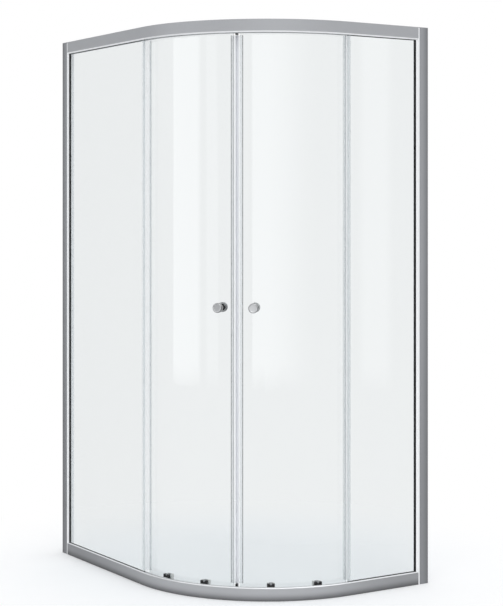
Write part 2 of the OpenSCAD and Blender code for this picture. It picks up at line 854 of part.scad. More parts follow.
release_slider("right", "rear");  // release_slider_right_rear
spring("right", "front");  // spring_right_front
spring("right", "rear");  // spring_right_rear
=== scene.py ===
"""Dresses a quadrant shower cabin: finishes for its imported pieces, finer small parts and a pale studio.

Sizes are in metres in the part's own frame, angles in degrees, and colours are linear.
"""

import json
import logging
import math
from collections.abc import Sequence
from dataclasses import dataclass
from enum import Enum

import bmesh
import bpy
from mathutils import Matrix, Vector
from mathutils.geometry import intersect_line_line


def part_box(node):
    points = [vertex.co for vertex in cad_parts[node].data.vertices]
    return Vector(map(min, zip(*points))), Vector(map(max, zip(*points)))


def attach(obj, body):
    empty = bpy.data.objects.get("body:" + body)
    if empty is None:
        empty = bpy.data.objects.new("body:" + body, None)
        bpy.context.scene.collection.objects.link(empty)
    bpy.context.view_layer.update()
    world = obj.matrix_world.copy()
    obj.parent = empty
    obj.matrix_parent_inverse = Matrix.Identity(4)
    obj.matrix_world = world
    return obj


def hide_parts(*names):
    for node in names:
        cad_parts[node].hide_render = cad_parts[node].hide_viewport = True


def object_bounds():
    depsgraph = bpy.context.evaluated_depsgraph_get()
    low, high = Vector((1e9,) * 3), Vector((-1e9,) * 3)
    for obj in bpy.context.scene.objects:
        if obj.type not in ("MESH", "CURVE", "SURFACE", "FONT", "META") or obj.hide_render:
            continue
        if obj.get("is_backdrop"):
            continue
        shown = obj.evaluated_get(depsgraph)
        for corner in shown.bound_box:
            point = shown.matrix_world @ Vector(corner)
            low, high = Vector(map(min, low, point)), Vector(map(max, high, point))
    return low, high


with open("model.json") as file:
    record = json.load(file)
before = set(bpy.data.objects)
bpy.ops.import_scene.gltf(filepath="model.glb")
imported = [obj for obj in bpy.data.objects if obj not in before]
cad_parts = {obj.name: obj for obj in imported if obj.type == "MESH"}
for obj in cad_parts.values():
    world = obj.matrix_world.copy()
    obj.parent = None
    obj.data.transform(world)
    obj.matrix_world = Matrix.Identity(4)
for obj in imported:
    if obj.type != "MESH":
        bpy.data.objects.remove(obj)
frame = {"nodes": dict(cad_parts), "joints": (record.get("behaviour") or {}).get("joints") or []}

logging.basicConfig(level=logging.INFO, format="%(message)s")
LOG = logging.getLogger("cabin")

Colour = tuple[float, float, float]
Place = tuple[float, float, float]
Span = tuple[float, float]
Outline = list[tuple[float, float]]
SIDES = ("left", "right")
ENDS = ("front", "rear")
UP = Vector((0, 0, 1))
WHITE: Colour = (1.0, 1.0, 1.0)


class Grain(Enum):
    """How a surface's fine lines run, as the stretch of the pattern along X, Y and Z."""

    UPRIGHT = (700.0, 700.0, 2.0)
    LEVEL = (4.0, 4.0, 1500.0)


class Term:
    """A number that a node gives out, with operators that add Math nodes."""

    def __init__(self, graph: "Graph", socket: bpy.types.NodeSocket) -> None:
        """Keeps the socket and the graph that it belongs to."""
        self.graph = graph
        self.socket = socket

    def maths(self, operation: str, first: "Term | float", second: "Term | float") -> "Term":
        """The result of one Math node with this operation on two numbers."""
        return self.graph.term("ShaderNodeMath", {"operation": operation}, {0: first, 1: second})

    def __add__(self, other: "Term | float") -> "Term":
        """self + other."""
        return self.maths("ADD", self, other)

    __radd__ = __add__

    def __sub__(self, other: "Term | float") -> "Term":
        """self - other."""
        return self.maths("SUBTRACT", self, other)

    def __rsub__(self, other: float) -> "Term":
        """other - self."""
        return self.maths("SUBTRACT", other, self)

    def __mul__(self, other: "Term | float") -> "Term":
        """self * other."""
        return self.maths("MULTIPLY", self, other)

    __rmul__ = __mul__

    def __truediv__(self, other: "Term | float") -> "Term":
        """self / other."""
        return self.maths("DIVIDE", self, other)

    def __rtruediv__(self, other: float) -> "Term":
        """other / self."""
        return self.maths("DIVIDE", other, self)

    def __pow__(self, other: float) -> "Term":
        """self ** other."""
        return self.maths("POWER", self, other)

    def __rpow__(self, other: float) -> "Term":
        """other ** self."""
        return self.maths("POWER", other, self)

    def most(self, other: "Term | float") -> "Term":
        """The larger of the two numbers."""
        return self.maths("MAXIMUM", self, other)

    def bearing(self, across: "Term") -> "Term":
        """The angle in radians, all the way round, whose tangent is self / across."""
        return self.maths("ARCTAN2", self, across)


class Graph:
    """The nodes of one material or of the world."""

    def __init__(self, owner: bpy.types.ID) -> None:
        """Clears the owner's node tree and starts anew.

        Args:
            owner: A material or a world.
        """
        owner.use_nodes = True
        self.tree = owner.node_tree
        self.tree.nodes.clear()

    def node(self, kind: str, settings: dict[str, object] | None = None,
             sockets: dict[str | int, object] | None = None) -> bpy.types.Node:
        """Adds one node: its settings are set first, then its sockets are filled or linked.

        Args:
            kind: The node's type.
            settings: Its properties, such as a Math node's operation.
            sockets: A value, a Term or an output socket for each input, by name or number.

        Returns:
            The new node.
        """
        made = self.tree.nodes.new(kind)
        for key, value in (settings or {}).items():
            setattr(made, key, value)
        for key, value in (sockets or {}).items():
            source = value.socket if isinstance(value, Term) else value
            if isinstance(source, bpy.types.NodeSocket):
                self.tree.links.new(source, made.inputs[key])
            else:
                made.inputs[key].default_value = source
        return made

    def term(self, kind: str, settings: dict[str, object], sockets: dict[str | int, object],
             output: str | int = 0) -> Term:
        """Adds a node and gives one of its outputs as a Term."""
        return Term(self, self.node(kind, settings, sockets).outputs[output])

    def place(self) -> bpy.types.NodeSocket:
        """The point in the piece's own frame, in metres."""
        return self.node("ShaderNodeTexCoord").outputs["Object"]

    def stretched(self, point: bpy.types.NodeSocket, by: Sequence[float]) -> bpy.types.NodeSocket:
        """The point with each axis scaled."""
        made = self.node("ShaderNodeVectorMath", {"operation": "MULTIPLY"}, {0: point, 1: tuple(by)})
        return made.outputs[0]

    def split(self, point: bpy.types.NodeSocket) -> list[Term]:
        """The point's three numbers."""
        made = self.node("ShaderNodeSeparateXYZ", None, {0: point})
        return [Term(self, output) for output in made.outputs]

    def noise(self, point: bpy.types.NodeSocket, scale: float, detail: float = 2.0) -> Term:
        """Smooth noise between 0 and 1, with its repeats per metre and how many finer layers it has."""
        return self.term("ShaderNodeTexNoise", {}, {"Vector": point, "Scale": scale, "Detail": detail}, "Fac")

    def step(self, value: "Term | bpy.types.NodeSocket", low: float, high: float) -> Term:
        """A smooth rise from 0 at low to 1 at high."""
        return self.term("ShaderNodeMapRange", {"interpolation_type": "SMOOTHSTEP"},
                         {"Value": value, "From Min": low, "From Max": high})

    def window(self, value: Term, low: float, high: float, soft: float) -> Term:
        """1 between low and high, falling to 0 over the soft width at each end."""
        return self.step(value, low - soft, low + soft) * (1 - self.step(value, high - soft, high + soft))

    def blend(self, share: "Term | float", first: object, second: object) -> bpy.types.NodeSocket:
        """A colour between two colours.

        Args:
            share: How much of the second there is.
            first: A colour or a colour socket.
            second: A colour or a colour socket.

        Returns:
            The mixed colour.
        """
        colours = [(*c, 1.0) if isinstance(c, tuple) else c for c in (first, second)]
        made = self.node("ShaderNodeMix", {"data_type": "RGBA"}, {0: share, 6: colours[0], 7: colours[1]})
        return made.outputs[2]

    def bump(self, height: Term, strength: float, depth: float) -> bpy.types.NodeSocket:
        """A normal that follows a height, with the depth in metres."""
        return self.node("ShaderNodeBump", None,
                         {"Strength": strength, "Distance": depth, "Height": height}).outputs[0]

    def ray(self, *kinds: str) -> Term:
        """Tells some kinds of ray from the others.

        Args:
            kinds: The outputs of the Light Path node that count.

        Returns:
            1 for rays of these kinds, else 0.
        """
        path = self.node("ShaderNodeLightPath")
        found = [Term(self, path.outputs[kind]) for kind in kinds]
        total = found[0]
        for other in found[1:]:
            total = total.most(other)
        return total

    def shader(self, **sockets: object) -> bpy.types.NodeSocket:
        """A Principled shader, with its sockets named by keys that have underscores for spaces."""
        named = {key.replace("_", " "): value for key, value in sockets.items()}
        return self.node("ShaderNodeBsdfPrincipled", None, named).outputs[0]

    def mixed(self, share: "Term | float", first: bpy.types.NodeSocket,
              second: bpy.types.NodeSocket) -> bpy.types.NodeSocket:
        """A Mix Shader of two shaders."""
        return self.node("ShaderNodeMixShader", None, {0: share, 1: first, 2: second}).outputs[0]

    def see_through(self, colour: Colour) -> bpy.types.NodeSocket:
        """A shader that lets light through unbent and tints it."""
        return self.node("ShaderNodeBsdfTransparent", None, {0: (*colour, 1.0)}).outputs[0]

    def glow(self, kind: str, colour: object, strength: float = 1.0) -> bpy.types.NodeSocket:
        """A shader that sends out light, of the kind that a surface or the world takes."""
        plain = (*colour, 1.0) if isinstance(colour, tuple) else colour
        return self.node(kind, None, {"Color": plain, "Strength": strength}).outputs[0]

    def finish(self, shader: bpy.types.NodeSocket) -> None:
        """Sends the shader to a material's output."""
        self.node("ShaderNodeOutputMaterial", None, {0: shader})


@dataclass(frozen=True)
class Bend:
    """The cabin's quarter turn: its centre in plan and its outer radius, worked out from the joints."""

    centre: Vector
    radius: float

    @classmethod
    def from_joints(cls, joints: Sequence[dict]) -> "Bend":
        """Finds the centre where the axes of two wheels of one door cross.

        Args:
            joints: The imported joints.

        Returns:
            The bend.
        """
        lines = []
        for end in ENDS:
            joint = next(j for j in joints if j["name"] == f"top_wheel_left_{end}_spin")
            start = Vector(joint["pos_m"])
            lines += [start, start + Vector(joint["axis"])]
        crossing = intersect_line_line(*lines)[0]
        return cls(Vector((crossing.x, crossing.y, 0.0)), crossing.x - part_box("top_rail")[0].x)

    def offsets(self, graph: Graph, point: bpy.types.NodeSocket) -> tuple[Term, Term]:
        """How far a shader's point lies beyond the centre, towards -X and towards -Y."""
        x, y, _ = graph.split(point)
        return (self.centre.x - x).most(0.0), (self.centre.y - y).most(0.0)

    def reach(self, graph: Graph, point: bpy.types.NodeSocket) -> Term:
        """How far out a shader's point lies, along the straight sides as well as round the bend."""
        out_x, out_y = self.offsets(graph, point)
        return (out_x * out_x + out_y * out_y) ** 0.5

    def outward(self, point: Vector) -> Vector:
        """The level direction from the bend's centre to a point."""
        flat = Vector((point.x - self.centre.x, point.y - self.centre.y, 0.0))
        return flat.normalized()

    def turned(self, point: Vector, out: bool) -> Matrix:
        """Works out a frame whose Z axis runs level, straight out of the cabin or into it.

        Args:
            point: Where the frame stands.
            out: Whether its Z axis runs outwards.

        Returns:
            The frame.
        """
        z = self.outward(point) * (1 if out else -1)
        x = UP.cross(z).normalized()
        return self.frame_of(point, x, z.cross(x), z)

    def upright(self, point: Vector) -> Matrix:
        """A frame at a point whose Y axis runs inwards and whose Z axis runs up."""
        y = -self.outward(point)
        return self.frame_of(point, y.cross(UP), y, UP)

    @staticmethod
    def frame_of(point: Vector, x: Vector, y: Vector, z: Vector) -> Matrix:
        """Makes the matrix of a frame.

        Args:
            point: Where the frame stands.
            x: Its X axis.
            y: Its Y axis.
            z: Its Z axis.

        Returns:
            The matrix.
        """
        matrix = Matrix((x, y, z)).transposed().to_4x4()
        matrix.translation = point
        return matrix


def toned(colour: Colour, by: float, lift: float = 0.0) -> Colour:
    """The colour times a factor, plus a little lift, with no channel over 1."""
    return tuple(min(1.0, c * by + lift) for c in colour)


@dataclass(frozen=True)
class Finish:
    """A surface finish with its name and the record's material slot."""

    name: str
    slot: str

    def material(self) -> bpy.types.Material:
        """Gives the Blender material, made on first use under a name that no packed material has.

        Returns:
            The material.
        """
        title = f"{self.name}_finish"
        made = bpy.data.materials.get(title)
        if made is None:
            made = bpy.data.materials.new(title)
            graph = Graph(made)
            graph.finish(self.shade(graph))
        return made

    def shade(self, graph: Graph) -> bpy.types.NodeSocket:
        """The finish's shader; each kind of finish draws its own."""
        raise NotImplementedError(self.name)


@dataclass(frozen=True)
class Extrusion(Finish):
    """Anodised aluminium with the fine lines of its die, painted shade towards its ends and its foot, and a
    painted highlight on its lip.

    A shade is how much of a darker, painted tone is laid on where it is strongest, and 0 leaves it out. A
    tone is a factor of the colour. The side shades are those of the long and the short side.
    """

    colour: Colour
    grain: Grain
    roughness: float = 0.56
    metallic: float = 0.3
    tone: float = 0.05
    patch_scale: float = 3.5
    gloss_swings: Span = (0.12, 0.06)
    relief: Span = (0.25, 0.00006)
    soft: float = 0.0004
    wall_shade: float = 0.0
    wall_tone: float = 0.45
    wall_reach: float = 0.0296
    side_shade: Span = (0.0, 0.0)
    side_shade_tone: float = 0.4
    long_side: Span = (-0.35, 0.45)
    short_side: Span = (-0.1, 0.35)
    low_shade: float = 0.0
    low_tone: float = 0.4
    low_reach: float = 1.3
    groove: Span | None = None
    groove_depths: Span = (0.0045, 0.0119)
    groove_shade: float = 0.95
    groove_shade_colour: Colour = (0.01, 0.01, 0.011)
    floor_shade: float = 0.0
    floor_tone: float = 0.2
    floor_heights: Span = (-0.002, 0.032)
    floor_power: float = 1.4
    lip: Span | None = None
    lip_highlight_colour: Colour = WHITE
    lip_gloss: float = 0.12

    def shade(self, graph: Graph) -> bpy.types.NodeSocket:
        """Draws die lines in height and gloss, a slow change of tone, the painted shades and a painted
        highlight on the lip.

        Args:
            graph: The material's nodes.

        Returns:
            The shader.
        """
        point = graph.place()
        lines = graph.noise(graph.stretched(point, self.grain.value), 1.0, 3.0)
        patches = graph.noise(point, self.patch_scale, 3.0)
        deep, pale = toned(self.colour, 1 - self.tone), toned(self.colour, 1 + self.tone)
        colour = graph.blend(lines * 0.5 + patches * 0.5, deep, pale)
        # painted shade: darker copies of the colour laid on where shade falls
        for share, tone in self.darker(graph, point):
            colour = graph.blend(share, colour, tone)
        line_swing, patch_swing = self.gloss_swings
        roughness = self.roughness + (lines - 0.5) * line_swing + (patches - 0.5) * patch_swing
        # painted highlight: the lip's band is painted pale, and made glossier
        if self.lip:
            on_lip = graph.window(graph.split(point)[2], *self.lip, self.soft)
            colour = graph.blend(on_lip, colour, self.lip_highlight_colour)
            roughness = roughness - on_lip * self.lip_gloss
        return graph.shader(Base_Color=colour, Metallic=self.metallic, Roughness=roughness,
                            Normal=graph.bump(lines, *self.relief))

    def darker(self, graph: Graph, point: bpy.types.NodeSocket) -> list[tuple[Term, Colour]]:
        """Works out the painted shades: at the back, along the sides, low down, in the groove and at the
        floor.

        Args:
            graph: The material's nodes.
            point: The point in the piece's frame.

        Returns:
            Each painted shade's share at the point and its colour, in the order that they are laid on.
        """
        x, y, z = graph.split(point)
        made = []
        # painted shade where the profile meets the wall
        if self.wall_shade:
            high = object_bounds()[1]
            from_wall = 0 - (x - high.x).most(y - high.y)
            share = (1 - graph.step(from_wall, 0.0, self.wall_reach)) * self.wall_shade
            made.append((share, toned(self.colour, self.wall_tone)))
        # painted shade along the long and the short side
        if any(self.side_shade):
            long_share, short_share = self.side_shade
            share = (graph.step(y, *self.long_side) * long_share
                     + graph.step(x, *self.short_side) * short_share)
            made.append((share, toned(self.colour, self.side_shade_tone)))
        # painted shade growing towards the floor
        if self.low_shade:
            share = (1 - graph.step(z, 0.0, self.low_reach)) * self.low_shade
            made.append((share, toned(self.colour, self.low_tone)))
        # painted shadow inside the rail's groove, near black
        if self.groove:
            bend = Bend.from_joints(frame["joints"])
            across = graph.window(bend.radius - bend.reach(graph, point), *self.groove_depths, self.soft)
            share = across * graph.window(z, *self.groove, self.soft) * self.groove_shade
            made.append((share, self.groove_shade_colour))
        # painted shade at the rail's foot, like a contact shadow
        if self.floor_shade:
            share = (1 - graph.step(z, *self.floor_heights)) ** self.floor_power * self.floor_shade
            made.append((share, toned(self.colour, self.floor_tone)))
        return made


@dataclass(frozen=True)
class Turned(Finish):
    """Turned metal, with fine rings round the piece's own Z axis.

    A knob also has painted light and shade: a back painted paler with a core painted dark as shade, below
    back_below, and a side painted darker as shade and dark reflection, beyond side_from. Their tones are
    factors of the colour.
    """

    colour: Colour
    roughness: float = 0.22
    rings: float = 2600.0
    smudge_scale: float = 130.0
    tones: Span = (0.86, 1.08)
    gloss_swings: Span = (0.14, 0.08)
    relief: Span = (0.35, 0.00004)
    soft: float = 0.0006
    back_below: float = 0.0
    back_light_tone: float = 1.3
    core_r: float = 0.0124
    core_shade_tone: float = 0.08
    side_from: float = 0.0
    side_shade_tone: float = 0.55

    def shade(self, graph: Graph) -> bpy.types.NodeSocket:
        """Draws rings by the distance from the axis, smudges of wear, and the painted light and shade of a
        knob's back and side.

        Args:
            graph: The material's nodes.

        Returns:
            The shader.
        """
        point = graph.place()
        x, y, z = graph.split(point)
        radius = (x * x + y * y) ** 0.5
        around = graph.node("ShaderNodeCombineXYZ", None, {0: radius, 1: z}).outputs[0]
        lines = graph.noise(around, self.rings, 2.0)
        smudge = graph.noise(point, self.smudge_scale, 3.0)
        deep, pale = (toned(self.colour, tone) for tone in self.tones)
        colour = graph.blend(lines * 0.6 + smudge * 0.4, deep, pale)
        # painted light and shade: the back painted paler, its core painted dark as shade
        if self.back_below:
            under = 1 - graph.step(z, self.back_below - self.soft, self.back_below)
            in_core = 1 - graph.step(radius, self.core_r, self.core_r + self.soft)
            back = graph.blend(in_core, toned(self.colour, self.back_light_tone),
                               toned(self.colour, self.core_shade_tone))
            colour = graph.blend(under, colour, back)
        # painted shade and dark reflection on the side of the head
        if self.side_from:
            on_side = graph.step(radius, self.side_from, self.side_from + self.soft)
            colour = graph.blend(on_side, colour, toned(self.colour, self.side_shade_tone))
        line_swing, smudge_swing = self.gloss_swings
        return graph.shader(Base_Color=colour, Metallic=1.0,
                            Roughness=self.roughness + lines * line_swing + smudge * smudge_swing,
                            Normal=graph.bump(lines, *self.relief))


@dataclass(frozen=True)
class Moulded(Finish):
    """Moulded plastic with a fine spark grain and a slightly worn tone."""

    colour: Colour
    roughness: float = 0.42
    tone: float = 0.18
    grain: float = 2200.0
    flow_scale: float = 60.0
    gloss_swings: Span = (0.16, 0.06)
    relief: Span = (0.3, 0.00008)
    wear: float = 0.004

    def shade(self, graph: Graph) -> bpy.types.NodeSocket:
        """Draws a fine grain in height and gloss over slow changes of tone.

        Args:
            graph: The material's nodes.

        Returns:
            The shader.
        """
        point = graph.place()
        grain = graph.noise(point, self.grain, 2.0)
        flow = graph.noise(point, self.flow_scale, 4.0)
        deep, pale = toned(self.colour, 1 - self.tone), toned(self.colour, 1 + self.tone, self.wear)
        colour = graph.blend(flow * 0.7 + grain * 0.3, deep, pale)
        grain_swing, flow_swing = self.gloss_swings
        roughness = self.roughness + grain * grain_swing - grain_swing / 2 + flow * flow_swing
        return graph.shader(Base_Color=colour, Roughness=roughness, Normal=graph.bump(grain, *self.relief))


@dataclass(frozen=True)
class Rubber(Finish):
    """Black extruded rubber with faint lines along its run."""

    colour: Colour = (0.006, 0.0063, 0.007)
    grain: Grain = Grain.UPRIGHT
    roughness: float = 0.52
    gloss: float = 0.22
    relief: Span = (0.4, 0.0001)
    dust_scale: float = 40.0
    dust_swing: float = 0.2
    dust_tone: float = 3.2

    def shade(self, graph: Graph) -> bpy.types.NodeSocket:
        """Draws extrusion lines, dust in the hollows and a soft gloss.

        Args:
            graph: The material's nodes.

        Returns:
            The shader.
        """
        point = graph.place()
        lines = graph.noise(graph.stretched(point, self.grain.value), 1.0, 3.0)
        dust = graph.noise(point, self.dust_scale, 4.0)
        colour = graph.blend(dust * lines, self.colour, toned(self.colour, self.dust_tone))
        return graph.shader(Base_Color=colour, Roughness=self.roughness + dust * self.dust_swing,
                            Specular_IOR_Level=self.gloss, Normal=graph.bump(lines, *self.relief))


@dataclass(frozen=True)
class ClearGlass(Finish):
    """Tempered clear glass with a faint cool tint, the roller waves of tempering and pale ground edges.

    A fixed pane also has a dark line of painted shade along its foot and head, below and above two heights.
    """

    tint: Colour = (0.862, 0.884, 0.888)
    shadow: Colour = (0.93, 0.945, 0.95)
    refraction: float = 1.52
    waves: Place = (1.5, 1.5, 3.0)
    wave_relief: Span = (0.06, 0.002)
    film_scale: float = 9.0
    film_tone: float = 0.985
    film_marks: Span = (0.4, 0.9)
    film_roughness: float = 0.02
    grit_scale: float = 1500.0
    grit_relief: Span = (0.3, 0.00005)
    ground: Colour = (0.84, 0.88, 0.88)
    ground_tone: float = 0.9
    ground_roughness: float = 0.55
    facing: Span = (0.5, 0.8)
    unshaded_heights: Span | None = None
    shade_line_tones: tuple[Colour, Colour] = ((0.03, 0.031, 0.034), (0.05, 0.051, 0.054))
    shade_line_roughness: float = 0.5
    shade_line_soft: float = 0.0003

    def shade(self, graph: Graph) -> bpy.types.NodeSocket:
        """Draws glass that lets lamps through, with its ground edges and its painted shade line.

        Args:
            graph: The material's nodes.

        Returns:
            The shader.
        """
        point = graph.place()
        grit = graph.noise(point, self.grit_scale, 2.0)
        gritty = graph.bump(grit, *self.grit_relief)
        ground = graph.shader(
            Base_Color=graph.blend(grit, self.ground, toned(self.ground, self.ground_tone)),
            Roughness=self.ground_roughness, Normal=gritty)
        pane = graph.mixed(self.edge(graph, point), self.clear(graph, point), ground)
        # painted shade: a dark line along the fixed pane's foot and head
        if self.unshaded_heights:
            line = 1 - graph.window(graph.split(point)[2], *self.unshaded_heights, self.shade_line_soft)
            shade_line = graph.shader(Base_Color=graph.blend(grit, *self.shade_line_tones),
                                Roughness=self.shade_line_roughness, Normal=gritty)
            pane = graph.mixed(line, pane, shade_line)
        lamps_and_bounces = graph.ray("Is Shadow Ray", "Is Diffuse Ray")
        return graph.mixed(lamps_and_bounces, pane, graph.see_through(self.shadow))

    def clear(self, graph: Graph, point: bpy.types.NodeSocket) -> bpy.types.NodeSocket:
        """Draws the clear body, with faint waves in its faces and a faint film on them.

        Args:
            graph: The material's nodes.
            point: The point in the pane's frame.

        Returns:
            The shader.
        """
        waves = graph.noise(graph.stretched(point, self.waves), 1.0, 1.0)
        film = graph.noise(point, self.film_scale, 4.0)
        colour = graph.blend(film * 0.5, self.tint, toned(self.tint, self.film_tone))
        return graph.shader(Base_Color=colour,
                            Roughness=graph.step(film, *self.film_marks) * self.film_roughness,
                            IOR=self.refraction, Transmission_Weight=1.0,
                            Normal=graph.bump(waves, *self.wave_relief))

    def edge(self, graph: Graph, point: bpy.types.NodeSocket) -> Term:
        """Finds the pane's ground edges by how little the surface faces straight out of the cabin or into it.

        Args:
            graph: The material's nodes.
            point: The point in the pane's frame.

        Returns:
            1 on the edges, 0 on the faces.
        """
        bend = Bend.from_joints(frame["joints"])
        out_x, out_y = bend.offsets(graph, point)
        normal_x, normal_y, _ = graph.split(graph.node("ShaderNodeTexCoord").outputs["Normal"])
        along = (normal_x * out_x + normal_y * out_y) / bend.reach(graph, point)
        return 1 - graph.step((along * along) ** 0.5, *self.facing)


@dataclass(frozen=True)
class ClearVinyl(Finish):
    """Clear soft vinyl of the seals, a little milky, with faint lines along its run.

    A magnet seal has the tips of its arms painted darker as shade, and one of them a fold painted darker as
    shade too. Both are placed by how far they lie across from the line on which the doors meet.
    """

    colour: Colour = (0.86, 0.88, 0.90)
    clear: Colour = (0.985, 0.988, 0.99)
    line_tone: float = 1.12
    line_swing: float = 0.1
    relief: Span = (0.3, 0.0001)
    milk: float = 0.10
    cloud_scale: float = 12.0
    clouds: float = 0.3
    rim: float = 0.16
    rim_blend: float = 0.35
    roughness: float = 0.16
    soft: float = 0.0005
    tips: Span | None = None
    tip_shade_colour: Colour = (0.20, 0.21, 0.22)
    tip_milk: float = 0.18
    fold: Span | None = None
    fold_shade: float = 0.8

    def shade(self, graph: Graph) -> bpy.types.NodeSocket:
        """Draws a see-through body with a milky share that follows fine lines, and the painted shade of the
        tips and fold.

        Args:
            graph: The material's nodes.

        Returns:
            The shader.
        """
        point = graph.place()
        lines = graph.noise(graph.stretched(point, Grain.UPRIGHT.value), 1.0, 2.0)
        cloud = graph.noise(point, self.cloud_scale, 3.0)
        colour = graph.blend(lines, self.colour, toned(self.colour, self.line_tone))
        share = self.milk * (1 - self.clouds + cloud * self.clouds)
        # painted shade: the arms' ends and one fold are painted dark
        if self.tips:
            centre = Bend.from_joints(frame["joints"]).centre
            x, y, _ = graph.split(point)
            across = ((x - y) - (centre.x - centre.y)) * math.sqrt(0.5)
            tip_shade = graph.window((across * across) ** 0.5, *self.tips, self.soft)
            if self.fold:
                tip_shade = tip_shade.most(graph.window(across, *self.fold, self.soft) * self.fold_shade)
            colour = graph.blend(tip_shade, colour, self.tip_shade_colour)
            share = share + tip_shade * self.tip_milk
        body = graph.shader(Base_Color=colour, Roughness=self.roughness + lines * self.line_swing,
                            Normal=graph.bump(lines, *self.relief))
        edge = graph.term("ShaderNodeLayerWeight", {}, {"Blend": self.rim_blend}, "Facing")
        return graph.mixed(share + edge * self.rim, graph.see_through(self.clear), body)


SATIN: Colour = (0.41, 0.415, 0.43)
# the rails' lips are painted pale as a highlight and their grooves painted dark as shadow
TOP_RAIL = Extrusion("satin_aluminium_top", "satin_aluminium", SATIN, Grain.LEVEL,
                     lip=(1.9545, 1.9592), lip_highlight_colour=(0.95, 0.955, 0.96), groove=(1.953, 1.972))
# the low rail also has painted shade at its foot and along both sides
LOW_RAIL = Extrusion("satin_aluminium_low", "satin_aluminium", SATIN, Grain.LEVEL,
                     lip=(0.0430, 0.0465), lip_highlight_colour=(0.78, 0.79, 0.80), groove=(0.028, 0.047),
                     floor_shade=0.9, side_shade=(0.55, 0.42))
# the wall profiles have painted shade towards the wall, low down and along the long side
WALL_METAL = Extrusion("grey_aluminium", "grey_aluminium", (0.31, 0.315, 0.33), Grain.UPRIGHT,
                       metallic=0.1, wall_shade=0.7, low_shade=0.42, side_shade=(0.18, 0.0))
# the frame profiles are painted near white, as a highlight along their step
HIGHLIT_STEP_METAL = Extrusion("bright_aluminium", "bright_aluminium", (0.88, 0.885, 0.895), Grain.UPRIGHT,
                       metallic=0.05)
PANE = ClearGlass("clear_glass", "clear_glass", ground=(0.92, 0.94, 0.94))
# the fixed panes have a dark line of painted shade along their foot and head
FIXED_PANE = ClearGlass("clear_glass_shade_lined", "clear_glass", unshaded_heights=(0.0490, 1.9518))
SEAL = ClearVinyl("clear_vinyl", "clear_seal")
# the rear seals are a copy of the clear vinyl, painted darker as shade
SHADED_REAR_SEAL = ClearVinyl("clear_vinyl_rear", "clear_seal", (0.62, 0.66, 0.68), milk=0.13, rim=0.2)
# the magnet seals' arm ends are painted dark as shade, and the left one's fold too
SHADED_SEAL_TIPS: Span = (0.0183, 0.0218)
MAGNET_SEAL = ClearVinyl("clear_vinyl_magnet", "clear_seal", tips=SHADED_SEAL_TIPS)
FOLDED_SEAL = ClearVinyl("clear_vinyl_folded", "clear_seal", tips=SHADED_SEAL_TIPS, fold=(-0.0150, -0.0118))
GASKET = Rubber("black_rubber", "black_rubber")
BLACK = Moulded("black_plastic", "black_plastic", (0.011, 0.0115, 0.013))
TAB_GREY = Moulded("grey_tab_plastic", "grey_plastic", (0.30, 0.31, 0.325))
CAP_GREY = Moulded("grey_plastic", "grey_plastic", (0.27, 0.275, 0.29))
NYLON = Moulded("white_nylon", "white_nylon", (0.80, 0.80, 0.78), roughness=0.36, tone=0.05)
MAGNET = Moulded("magnet_bar", "magnet_bar", (0.83, 0.83, 0.87), roughness=0.5, tone=0.06)
STEEL = Turned("stainless_steel", "stainless_steel", (0.60, 0.60, 0.59), roughness=0.25)
# the knobs have painted light and shade on their backs and sides
KNOB_METAL = Turned("knob_metal", "knob_metal", (0.58, 0.585, 0.59), roughness=0.24, rings=1800.0,
                    back_below=0.0124, side_from=0.0144)
NUT_METAL = Turned("bright_nut", "bright_nut", (0.82, 0.82, 0.83), roughness=0.08)


def placed(name: str, data: bpy.types.ID) -> bpy.types.Object:
    """Makes an object and links it to the scene.

    Args:
        name: Its name.
        data: Its mesh, lamp or camera.

    Returns:
        The object.
    """
    made = bpy.data.objects.new(name, data)
    bpy.context.scene.collection.objects.link(made)
    return made


def aim(made: bpy.types.Object, way: Place) -> None:
    """Turns a lamp or the camera to look along a direction."""
    made.rotation_mode = "QUATERNION"
    made.rotation_quaternion = Vector(way).to_track_quat("-Z", "Y")


